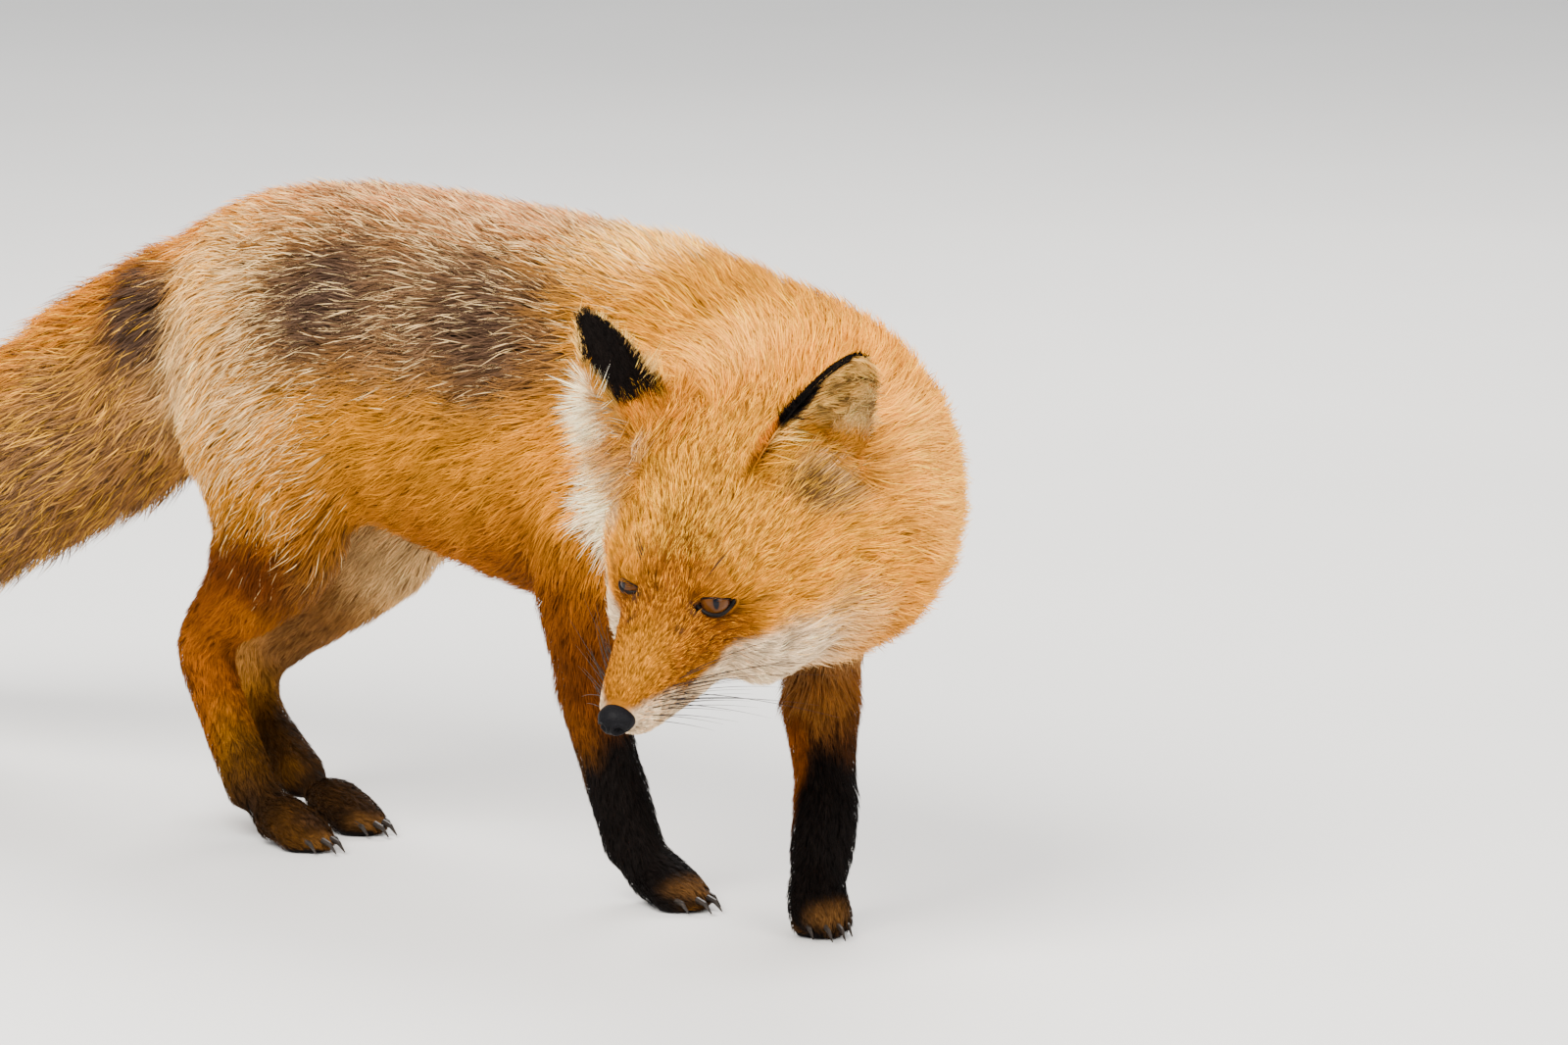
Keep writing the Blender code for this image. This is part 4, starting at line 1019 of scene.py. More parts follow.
# ------------------------------------------------------------------------ eyes
@dataclass
class Eye:
    """An eyeball, its lids' opening and the dark rim along their edges.

    Attributes:
        side: 1 on the left, -1 on the right.
        outward: The way the opening faces, in the head's axes of the left side.
        corner_line: From the inner to the outer corner, in the same axes.
        gaze: The way the pupil looks.
        half_long: Half of the opening's length.
        above: Height of the opening over the middle of the line between its corners.
        below: Its depth under that line.
        lid: Thickness of the lids over the ball.
        reach: How far from the ball's middle the skin is shaped.
    """

    side: int
    gaze: tuple
    outward: tuple = (0.72, 0.58, 0.38)
    corner_line: tuple = (-0.75, 0.62, -0.13)
    half_long: float = 0.0100
    above: float = 0.0030
    below: float = 0.0062
    lid: float = 0.0011
    reach: float = 0.0165

    @property
    def name(self) -> str:
        """Give the side's name."""
        return side_name(self.side)

    def __post_init__(self) -> None:
        """Find the eye's own axes from its solid."""
        low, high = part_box("eye_" + self.name)
        self.centre = box_middle("eye_" + self.name)
        self.radius = (high.x - low.x) / 2
        flip = np.array((1.0, self.side, 1.0))
        out = HEAD.way(*(np.array(self.outward) * flip))
        along = HEAD.way(*(np.array(self.corner_line) * flip))
        along = unit(along - out * (along @ out))
        up = unit(np.cross(out, along)) * self.side
        self.axes = Axes(self.centre, np.stack((out, along, up), axis=1))

    def opening(self, count: int = 40) -> np.ndarray:
        """List points along the opening's edge, as distances along and above its middle."""
        x = np.cos(np.linspace(math.pi, 0.0, count)) * self.half_long
        top, bottom = self.lid_lines(x)
        return np.concatenate((np.stack((x, top), axis=1), np.stack((x, bottom), axis=1)[-2:0:-1]))

    def lid_lines(self, x: np.ndarray) -> tuple[np.ndarray, np.ndarray]:
        """Give the heights of the upper and the lower lid's edge, at places along the corner line."""
        share = np.clip(x / self.half_long, -1.0, 1.0)
        top = self.above * (1.0 - share) ** 1.2 * (1.0 + share) ** 0.5
        return top, -self.below * (1.0 - share**2) ** 0.75

    def edge_distance(self, flat: np.ndarray) -> np.ndarray:
        """Measure how far points lie outside the opening; inside counts below zero."""
        edge = self.opening(80)
        away = np.sqrt(((flat[:, None, :] - edge[None]) ** 2).sum(axis=2)).min(axis=1)
        top, bottom = self.lid_lines(flat[:, 0])
        inside = (np.abs(flat[:, 0]) < self.half_long) & (flat[:, 1] < top) & (flat[:, 1] > bottom)
        return np.where(inside, -away, away)

    def near(self, places: np.ndarray) -> np.ndarray:
        """Pick the places round the eye, on its open side."""
        local = self.axes.read(places)
        return (np.linalg.norm(local, axis=1) < self.reach) & (local[:, 0] > -0.002)

    def shape_lids(self, places: np.ndarray) -> np.ndarray:
        """Draw the skin over the ball as lids, and sink it behind the opening."""
        chosen = self.near(places)
        local = self.axes.read(places[chosen])
        flat = local[:, 1:]
        outside = self.edge_distance(flat)
        rho = (flat**2).sum(axis=1)
        ball = self.radius - 0.0020
        lift = mix(-0.0003, self.lid, ramp(outside, -0.0002, 0.0010))
        over = np.where(outside < 0, ball, self.radius + lift)
        lid_height = np.sqrt(np.maximum(over**2 - rho, (0.0022 + 0.30 * self.lid) ** 2))
        blend = ramp(outside, 0.0012, 0.0062)
        local[:, 0] = mix(lid_height, local[:, 0], blend)
        moved = places.copy()
        moved[chosen] = self.centre + local @ self.axes.turn.T
        return moved

    def bare(self, places: np.ndarray) -> np.ndarray:
        """Tell how bare the skin is here: 1 inside and along the opening, 0 in the fur."""
        result = np.zeros(len(places))
        chosen = self.near(places)
        flat = self.axes.read(places[chosen])[:, 1:]
        outside = self.edge_distance(flat)
        inner = ramp(-flat[:, 0], 0.0060, 0.0100) * ramp(0.0042 - np.abs(flat[:, 1] + 0.0024), 0.0, 0.002)
        wide = 0.0004 + 0.0016 * ramp(-flat[:, 1], -0.001, 0.003) + 0.0026 * inner
        result[chosen] = 1.0 - ramp(outside, wide - 0.0004, wide + 0.0006)
        return result

    def build_ball(self) -> bpy.types.Object:
        """Make the eyeball, with the cornea's bulge."""
        deselect()
        bpy.ops.mesh.primitive_uv_sphere_add(
            segments=64, ring_count=40, radius=self.radius, location=tuple(self.centre)
        )
        ball = bpy.context.active_object
        ball.name = "eyeball_" + self.name
        bpy.ops.object.transform_apply(location=True, rotation=True, scale=True)
        places = points_of(ball.data)
        gaze = self.gaze_way()
        ways = unit(places - self.centre)
        bulge = ramp(ways @ gaze, 0.70, 1.0) * 0.0007
        move_points(ball.data, places + ways * bulge[:, None])
        smooth_shading(ball)
        return ball

    def gaze_way(self) -> np.ndarray:
        """Give the direction that the pupil looks along."""
        return HEAD.way(*self.gaze)

    def finish(self) -> EyeFinish:
        """Lay out the iris and its pupil on the ball."""
        gaze, up = self.gaze_way(), self.axes.turn[:, 2]
        above = unit(up - gaze * (up @ gaze))
        return EyeFinish("iris_" + self.name, tuple(self.centre), tuple(gaze), tuple(above))

    def build_rim(self) -> bpy.types.Object:
        """Make the dark wet edge of the lids."""
        flat = self.opening(48)
        rho = (flat**2).sum(axis=1)
        height = np.sqrt(np.maximum((self.radius + 0.0005) ** 2 - rho, 0.0028**2))
        path = self.centre + np.column_stack((height, flat)) @ self.axes.turn.T
        low = ramp(-flat[:, 1], -0.001, 0.003)
        return tube("lid_rim_" + self.name, path, 0.0003 + 0.0008 * low, 10, closed=True)


def tube(
    name: str, path: np.ndarray, radii: np.ndarray, sides: int, closed: bool = False
) -> bpy.types.Object:
    """Draw a round tube along a path.

    Args:
        name: Name of the new object.
        path: Points along its middle.
        radii: Its radius at each point.
        sides: Corners of its cross-section.
        closed: Whether the path runs back into its start.

    Returns:
        The tube, closed at both ends by a pole where the path is open.
    """
    places, triangles = tube_arrays(path, radii, sides, closed)
    return mesh_object(name, places, triangles)


def tube_arrays(
    path: np.ndarray, radii: np.ndarray, sides: int, closed: bool
) -> tuple[np.ndarray, np.ndarray]:
    """Work out a tube's points and triangles."""
    count = len(path)
    if closed:
        ahead = np.roll(path, -1, axis=0) - np.roll(path, 1, axis=0)
    else:
        ahead = np.gradient(path, axis=0)
    ahead = unit(ahead)
    guide = np.array((0.31, 0.17, 0.93))
    first = unit(np.cross(ahead, guide))
    second = np.cross(ahead, first)
    angles = np.arange(sides) * math.tau / sides
    ring = np.cos(angles)[None, :, None] * first[:, None] + np.sin(angles)[None, :, None] * second[:, None]
    places = (path[:, None] + ring * np.reshape(radii, (-1, 1, 1))).reshape(-1, 3)
    rows = count if closed else count - 1
    row, side = np.meshgrid(np.arange(rows), np.arange(sides), indexing="ij")
    after = (side + 1) % sides
    low = row * sides
    high = ((row + 1) % count) * sides
    quads = np.stack((low + side, low + after, high + after, high + side), axis=-1).reshape(-1, 4)
    triangles = np.concatenate((quads[:, [0, 1, 2]], quads[:, [0, 2, 3]]))
    if not closed:
        places = np.concatenate((places, path[:1], path[-1:]))
        near = np.arange(sides)
        far = near + (count - 1) * sides
        start = np.stack((np.full(sides, count * sides), np.roll(near, -1), near), axis=1)
        end = np.stack((np.full(sides, count * sides + 1), far, np.roll(far, -1)), axis=1)
        triangles = np.concatenate((triangles, start, end))
    return places, triangles


# ------------------------------------------------------------------------ skin
@dataclass
class Skin:
    """One closed skin under the whole coat, from nose to tail tip.

    Attributes:
        eyes: The eyes that its lids close round.
        ears: The ears whose sockets it fills.
        voxel: Grain of the closed skin.
        inset_rounds: Steps in which it is drawn in under the coat.
        ease: Share by which it is smoothed after each of them.
        sole: Height under which it is drawn in less, down to nothing on the floor.
        ear_depth: How far it is drawn in at most at an ear's foot.
        ear_gap: Distances from an ear over which that limit fades.
    """

    eyes: tuple
    ears: tuple
    voxel: float = 0.0031
    inset_rounds: int = 5
    ease: float = 0.35
    sole: float = 0.008
    ear_depth: float = 0.0008
    ear_gap: tuple = (0.0008, 0.012)

    def gather(self) -> bpy.types.Object:
        """Join copies of the flesh, and fill the sockets of eyes, nose and ears."""
        copies = [copy_solid(node) for node in FLESH + ("eye_left", "eye_right", "nose")]
        copies += [ear.plug() for ear in self.ears]
        pick(*copies)
        bpy.ops.object.join()
        body = bpy.context.active_object
        body.name = "fox_skin"
        apply_modifier(body, "REMESH", {"mode": "VOXEL", "voxel_size": self.voxel})
        apply_modifier(body, "SMOOTH", {"factor": 0.5, "iterations": 3})
        return body

    @staticmethod
    def eased(places: np.ndarray, edges: np.ndarray, share: float) -> np.ndarray:
        """Move each point part of the way to the mean of its neighbours."""
        count = len(places)
        ends = np.concatenate((edges, edges[:, ::-1]))
        links = np.maximum(np.bincount(ends[:, 0], minlength=count), 1)
        means = np.stack(
            [np.bincount(ends[:, 0], weights=places[ends[:, 1], k], minlength=count) for k in range(3)],
            axis=1,
        )
        return mix(places, means / links[:, None], share)

    def draw_in(self, body: bpy.types.Object) -> None:
        """Draw the skin in from the coat's surface by the coat's depth."""
        mesh = body.data
        places = points_of(mesh)
        edges = np.empty(len(mesh.edges) * 2, np.int32)
        mesh.edges.foreach_get("vertices", edges)
        edges = edges.reshape(-1, 2)
        depth = Groom.at(places).depth * ramp(places[:, 2], 0.0, self.sole)
        for ear in self.ears:
            solid = tree_of(frame["nodes"]["ear_" + ear.name])
            away = np.fromiter((solid.find_nearest(place, 0.02)[3] or 0.02 for place in places), float)
            depth = mix(np.minimum(depth, self.ear_depth), depth, ramp(away, *self.ear_gap))
        step = (depth / self.inset_rounds)[:, None]
        for _ in range(self.inset_rounds):
            places = places - normals_of(mesh) * step
            places = self.eased(places, edges, self.ease)
            places[:, 2] = np.maximum(places[:, 2], 0.0)
            move_points(mesh, places)

    def refine(self, body: bpy.types.Object, centre: np.ndarray, reach: float, cuts: int) -> None:
        """Divide the faces round one place more finely."""
        pick(body)
        middles = vectors_of(body.data.polygons, "center")
        near = np.linalg.norm(middles - centre, axis=1) < reach
        body.data.polygons.foreach_set("select", near)
        bpy.ops.object.mode_set(mode="EDIT")
        bpy.ops.mesh.select_mode(type="FACE")
        bpy.ops.mesh.subdivide(number_cuts=cuts, smoothness=0.0)
        bpy.ops.object.mode_set(mode="OBJECT")

    def build(self) -> bpy.types.Object:
        """Build the skin with its lids, painted with the coat's markings."""
        body = self.gather()
        self.draw_in(body)
        for eye in self.eyes:
            self.refine(body, eye.centre, eye.reach + 0.002, 3)
        places = points_of(body.data)
        for eye in self.eyes:
            places = eye.shape_lids(places)
        move_points(body.data, places)
        smooth_shading(body)
        colors = paint_marks(places) * SKIN_SHADE
        bare = np.maximum(*(eye.bare(places) for eye in self.eyes))
        sole = 1.0 - ramp(places[:, 2], 0.002, 0.005)
        dark = np.maximum(bare, sole)[:, None]
        paint(body.data, mix(colors, Tone.BLACK.rgb, dark))
        return body


# ------------------------------------------------------------------------ ears
@dataclass
class Ear:
    """One ear: its skin, and how the hair lies on its back and in its opening.

    Attributes:
        side: 1 on the left, -1 on the right.
        apart: From the middle of the head to the middle of its base.
        turn: How far its opening is turned outward, in degrees.
        black_from: How high up its back the black begins.
        fringe: How much of the pale front hair laps round the front edge.
        thin: How far its skin lies inside the solid.
        half_wide: Half of its width.
        base_behind: From the nose tip back to its base, along the skull.
        base_above: From the nose tip up to its base.
    """

    side: int
    apart: float
    turn: float
    black_from: float = 0.20
    fringe: float = 0.0
    thin: float = 0.0009
    half_wide: float = 0.031
    base_behind: float = 0.156
    base_above: float = 0.058

    @property
    def name(self) -> str:
        """Give the side's name."""
        return side_name(self.side)

    def __post_init__(self) -> None:
        """Find the ear's own axes from its solid."""
        node = frame["nodes"]["ear_" + self.name]
        places = points_of(node.data)
        base = HEAD.place(-self.base_behind, self.side * self.apart, self.base_above)
        away = np.linalg.norm(places - HEAD.place(-0.12, 0.0, -0.02), axis=1)
        tip = places[away.argmax()]
        up = unit(tip - base)
        turn = math.radians(self.turn)
        out = HEAD.way(math.cos(turn), self.side * math.sin(turn), 0.0)
        out = unit(out - up * (out @ up))
        self.height = float((tip - base) @ up)
        self.axes = Axes(base, np.stack((out, np.cross(up, out), up), axis=1))

    def plug(self) -> bpy.types.Object:
        """Copy the part of the ear that sits in the head, to fill its socket."""
        root = copy_solid("ear_" + self.name)
        bpy.ops.object.mode_set(mode="EDIT")
        bpy.ops.mesh.select_all(action="SELECT")
        bpy.ops.mesh.bisect(
            plane_co=tuple(self.axes.place(0.0, 0.0, 0.004)),
            plane_no=tuple(self.axes.turn[:, 2]),
            use_fill=True,
            clear_outer=True,
        )
        bpy.ops.object.mode_set(mode="OBJECT")
        return root

    def build(self) -> bpy.types.Object:
        """Make the ear's skin, a little inside its solid."""
        ear = copy_solid("ear_" + self.name)
        ear.name = "ear_skin_" + self.name
        apply_modifier(ear, "SUBSURF", {"levels": 2, "render_levels": 2})
        places = points_of(ear.data)
        move_points(ear.data, places - normals_of(ear.data) * self.thin)
        smooth_shading(ear)
        places, facing = points_of(ear.data), normals_of(ear.data)
        paint(ear.data, self.colors(places, facing) * EAR_SHADE)
        return ear

    def colors(self, places: np.ndarray, facing: np.ndarray) -> np.ndarray:
        """Give the ear's colours: black behind, golden and cream inside, the head's at its foot."""
        local = self.axes.read(places)
        high = local[:, 2] / self.height
        ahead = -self.side * local[:, 1] / self.half_wide
        lap = self.fringe * ramp(ahead, 0.66, 0.74)[:, None]
        inner = np.maximum(self.inside(ahead, facing)[:, None], lap)
        wander = ripple(places, 0.02, 71) * 0.04
        black = ramp(high + wander - 0.2 * ahead, self.black_from - 0.05, self.black_from + 0.05)[:, None]
        back = mix(Tone.AMBER.rgb, Tone.BLACK.rgb, black)
        streaks = ripple(local * (1.0, 0.3, 1.0), 0.005, 72) + 0.6 * ripple(places, 0.018, 73)
        streaks = ramp(streaks, -0.1, 0.5)
        streaks = streaks * ramp(high, 0.10, 0.35) * ramp(0.85 - np.abs(ahead + 0.15), 0.0, 0.3)
        front = mix(Tone.STRAW.rgb, Tone.TAN.rgb, (0.08 + 0.08 * ripple(places, 0.008, 74))[:, None])
        front = mix(front, Tone.CREAM.rgb, 0.35 + 0.5 * ramp(-ahead, 0.1, 0.9)[:, None])
        front = mix(front, Tone.GREY_BROWN.rgb, (0.72 * streaks)[:, None])
        front = mix(front, mix(Tone.GOLD.rgb, Tone.IVORY.rgb, ramp(ahead, 0.74, 0.84)[:, None]), lap)
        rim = (1.0 - self.fringe) * ramp(ahead, 0.58, 0.70)[:, None] * black
        own = mix(mix(back, front, inner), Tone.BLACK.rgb, rim)
        return mix(paint_marks(places), own, ramp(high + wander - 0.1 * inner[:, 0], -0.02, 0.12)[:, None])

    def inside(self, ahead: np.ndarray, facing: np.ndarray) -> np.ndarray:
        """Tell the hollow side from the back, for places so far ahead and facing these ways."""
        toward = -self.side * (facing @ self.axes.turn[:, 1])
        return ramp(facing @ self.axes.turn[:, 0] - 0.8 * ahead * toward, -0.10, 0.20)

    def groom(self, places: np.ndarray, facing: np.ndarray) -> Groom:
        """Lay short velvet on the back, and long hair from the front edge over the opening."""
        local = self.axes.read(places)
        high = np.clip(local[:, 2] / self.height, 0.0, 1.0)
        ahead = -self.side * local[:, 1] / self.half_wide
        out, across, up = self.axes.turn.T
        behind = across * self.side
        inner = self.inside(ahead, facing)
        start = ramp(ahead, -0.7, 0.0)[:, None]
        edge = ramp(ahead, 0.55, 0.90)
        tuft = self.fringe * ramp(ahead, 0.66, 0.80) * ramp(0.60 - high, 0.0, 0.3)
        back = up - behind * (0.75 * edge)[:, None]
        front = up * (0.95 - 0.55 * start) + behind * (0.80 * start) + 0.30 * out
        lie = mix(back, front, inner[:, None])
        lie = unit(mix(lie, 0.8 * out - 0.6 * behind + 0.1 * up, tuft[:, None]))
        foot = 1.0 - ramp(high, 0.0, 0.35)
        low = 1.0 - ramp(high, 0.1, 0.9)
        length = mix(mix(0.0042, 0.0120, foot), 0.0120 - 0.0040 * high, edge * ramp(high, 0.1, 0.4))
        length = mix(mix(length, mix(0.0100, 0.0210, low), inner), 0.0200, tuft)
        depth = mix(mix(0.0009, 0.0030, foot), 0.0056 - 0.0030 * high, edge * ramp(high, 0.1, 0.4))
        depth = mix(mix(depth, mix(0.0024, 0.0056, low), inner), 0.0070, tuft)
        width = mix(0.00034, 0.00042, inner)
        crowd = mix(mix(280.0, 190.0, inner), 240.0, edge) * ramp(local[:, 2], -0.028, -0.020)
        return Groom(lie, depth, length, width, crowd * 1e4)


# ------------------------------------------------------------------------ coat
@dataclass(frozen=True)
class Cut:
    """Stations along a lock, from its root to its tip.

    Attributes:
        along: Share of the length at each station.
        wide: Share of the greatest width there; 0 makes it a point.
    """

    along: tuple
    wide: tuple


LONG_CUT = Cut((0.0, 0.30, 0.66, 1.0), (0.0, 1.0, 0.70, 0.0))
SHORT_CUT = Cut((0.0, 0.42, 1.0), (0.0, 1.0, 0.0))


@dataclass
class Locks:
    """Locks of hair on one surface, before they become meshes.

    Attributes:
        roots: Where they grow.
        facing: The way the skin faces there.
        groom: Lie and sizes there.
        colors: Main colour of each.
        seed: Start of the random draws.
        clump_size: Locks that lean together.
        draws: What was drawn for each lock.
    """

    roots: np.ndarray
    facing: np.ndarray
    groom: Groom
    colors: np.ndarray
    seed: int
    clump_size: int = 12
    draws: dict = field(default_factory=dict)

    def comb_out(self, places: np.ndarray, facing: np.ndarray) -> None:
        """Gather the locks into clumps, turn them a little and lay them on the body.

        Args:
            places: The skin's points.
            facing: The way each of them faces.
        """
        draw = np.random.default_rng(self.seed)
        count = len(self.roots)
        heads = draw.choice(count, max(count // self.clump_size, 1), replace=False)
        finder = finder_of(self.roots[heads])
        clump = np.fromiter((finder.find(root)[1] for root in self.roots), int, count)
        middle = self.roots[heads][clump]

        yaw = 0.20 * ripple(self.roots, 0.045, 31) + 0.13 * ripple(self.roots, 0.016, 32)
        yaw = yaw + draw.normal(0.0, 0.13, len(heads))[clump] + draw.normal(0.0, 0.11, count)
        lie = self.groom.lie
        lie = unit(lie - self.facing * (lie * self.facing).sum(axis=1)[:, None])
        side = np.cross(self.facing, lie)
        lie = lie * np.cos(yaw)[:, None] + side * np.sin(yaw)[:, None]
        side = np.cross(self.facing, lie)

        tall = draw.normal(1.0, 0.09, len(heads))[clump] * draw.normal(1.0, 0.10, count)
        stray = draw.random(count) < 0.06
        tall = np.clip(np.where(stray, tall * 1.18, tall), 0.55, 1.35)
        length = self.groom.length * draw.normal(1.0, 0.12, len(heads))[clump]
        length = length * np.clip(draw.normal(1.0, 0.12, count), 0.6, 1.5)
        rise = self.groom.depth * tall
        run = np.sqrt(np.maximum(length**2 - rise**2, (0.4 * length) ** 2))
        ends = self.roots + lie * run[:, None]
        skin = finder_of(places)
        nearest = np.fromiter((skin.find(end)[1] for end in ends), int, count)
        over = ((ends - places[nearest]) * facing[nearest]).sum(axis=1)
        self.draws = {
            "lie": lie,
            "side": side,
            "run": run,
            "rise": rise,
            "over": np.clip(over, -0.3 * run, 0.5 * run),
            "pull": (middle - self.roots) * 0.55,
            "curl": draw.normal(0.0, 0.07, count) * run,
            "roll": draw.normal(0.0, 0.45, count),
            "width": self.groom.width * draw.uniform(0.7, 1.3, count) * np.where(stray, 0.6, 1.0),
            "tone": draw.normal(1.0, 0.17, count) * draw.normal(1.0, 0.11, len(heads))[clump],
            "kind": draw.random(count),
            "dark": draw.random(count),
        }

    def shape(self, cut: Cut, chosen: np.ndarray) -> tuple[np.ndarray, np.ndarray, np.ndarray]:
        """Work out points, triangles and station shares of the chosen locks."""
        d = {key: value[chosen] for key, value in self.draws.items()}
        roots, up = self.roots[chosen], self.facing[chosen]
        flat = d["side"] * np.cos(d["roll"])[:, None] + up * np.sin(d["roll"])[:, None]
        columns, shares = [], []
        for t, wide in zip(cut.along, cut.wide):
            middle = roots + d["lie"] * (d["run"] * t**1.12)[:, None]
            middle = middle + up * (d["rise"] * (1.0 - (1.0 - t) ** 1.7) - d["over"] * t * t)[:, None]
            middle = middle + d["pull"] * t**1.3 + d["side"] * (d["curl"] * t * t)[:, None]
            if t == 0.0:
                middle = middle - up * 0.0004
            if wide == 0.0:
                columns.append(middle)
                shares.append(t)
            else:
                half = flat * (d["width"] * wide / 2)[:, None]
                columns += [middle - half, middle + half]
                shares += [t, t]
        places = np.stack(columns, axis=1)
        places[:, :, 2] = np.maximum(places[:, :, 2], 0.0002)
        size = len(shares)
        if size == 4:
            pattern = np.array(((0, 2, 1), (1, 2, 3)))
        else:
            pattern = np.array(((0, 2, 1), (1, 2, 4), (1, 4, 3), (3, 4, 5)))
        first = np.arange(len(roots))[:, None, None] * size
        triangles = (first + pattern[None]).reshape(-1, 3)
        return places, triangles, np.array(shares)

    def tint(self, shares: np.ndarray, chosen: np.ndarray) -> np.ndarray:
        """Colour every station: dark and dull at the root as painted shade deep in the coat, brighter
        towards the tip, and banded where the coat is grizzled.
        """
        base = self.colors[chosen] * np.clip(self.draws["tone"][chosen], 0.55, 1.5)[:, None]
        base = base * (1.0 + 0.22 * ripple(self.roots[chosen], 0.007, 81))[:, None]
        amount, dark_share, tips, night = grizzle_at(self.roots[chosen])
        banded = self.draws["kind"][chosen] < amount
        dark = banded & (self.draws["dark"][chosen] < dark_share)
        pale = banded & ~dark
        # Painted shade along each lock: darkest at its root, deep in the coat, and brightest at its tip
        light = np.interp(shares, (0.0, 0.4, 0.8, 1.0), (0.40, 0.74, 1.04, 1.20))
        colors = base[:, None, :] * light[None, :, None]
        tip = ramp(shares, 0.35, 0.85)[None, :, None]
        night = night * self.draws["tone"][chosen][:, None]
        snow = tips * self.draws["tone"][chosen][:, None]
        colors = mix(colors, night[:, None, :], dark[:, None, None] * (0.55 + 0.45 * tip) * 0.85)
        return mix(colors, snow[:, None, :], pale[:, None, None] * tip * 0.85)

    def piece(self, name: str, cut: Cut, chosen: np.ndarray, patches: np.ndarray) -> bpy.types.Object:
        """Join the chosen locks into one mesh.

        Args:
            name: The piece's name.
            cut: Stations along each lock.
            chosen: Numbers of the locks it takes.
            patches: Place of each lock's root on the unwrapped skin.

        Returns:
            The piece, painted and mapped.
        """
        places, triangles, shares = self.shape(cut, chosen)
        obj = mesh_object(name, places.reshape(-1, 3), triangles)
        paint(obj.data, self.tint(shares, chosen).reshape(-1, 3))
        across = np.zeros(len(shares))
        across[1:-1:2] = -0.5
        across[2:-1:2] = 0.5
        spread = np.stack((across, shares), axis=1) * PATCH_SIZE
        spots = (patches[:, None, :] + spread[None]).reshape(-1, 2)
        layer = obj.data.uv_layers.new(name=PATCH_LAYER)
        layer.data.foreach_set("uv", spots[triangles.ravel()].astype(np.float32).ravel())
        return obj


def scatter(
    places: np.ndarray, facing: np.ndarray, triangles: np.ndarray, crowd: np.ndarray, seed: int
) -> tuple[np.ndarray, np.ndarray]:
    """Scatter roots over a surface.

    Args:
        places: The surface's points.
        facing: The way each of them faces.
        triangles: The surface's faces.
        crowd: Roots on a square metre, at each point.
        seed: Start of the random draws.

    Returns:
        The roots, and the way the surface faces there.
    """
    draw = np.random.default_rng(seed)
    corners = places[triangles]
    areas = np.linalg.norm(
        np.cross(corners[:, 1] - corners[:, 0], corners[:, 2] - corners[:, 0]), axis=1
    )
    wanted = areas / 2 * crowd[triangles].mean(axis=1)
    counts = np.floor(wanted + draw.random(len(wanted))).astype(int)
    chosen = np.repeat(np.arange(len(counts)), counts)
    shares = draw.dirichlet((1.0, 1.0, 1.0), len(chosen))[:, :, None]
    roots = (corners[chosen] * shares).sum(axis=1)
    ways = unit((facing[triangles[chosen]] * shares).sum(axis=1))
    return roots, ways


def unwrap(local: np.ndarray) -> np.ndarray:
    """Unroll places round the first axis: how far along it, and the angle about it."""
    along = local[:, 0]
    share = (along - along.min()) / max(float(np.ptp(along)), 1e-6)
    turn = np.arctan2(local[:, 1], -local[:, 2]) / math.tau + 0.5
    return np.stack((share, turn), axis=1) * 0.985 + 0.005


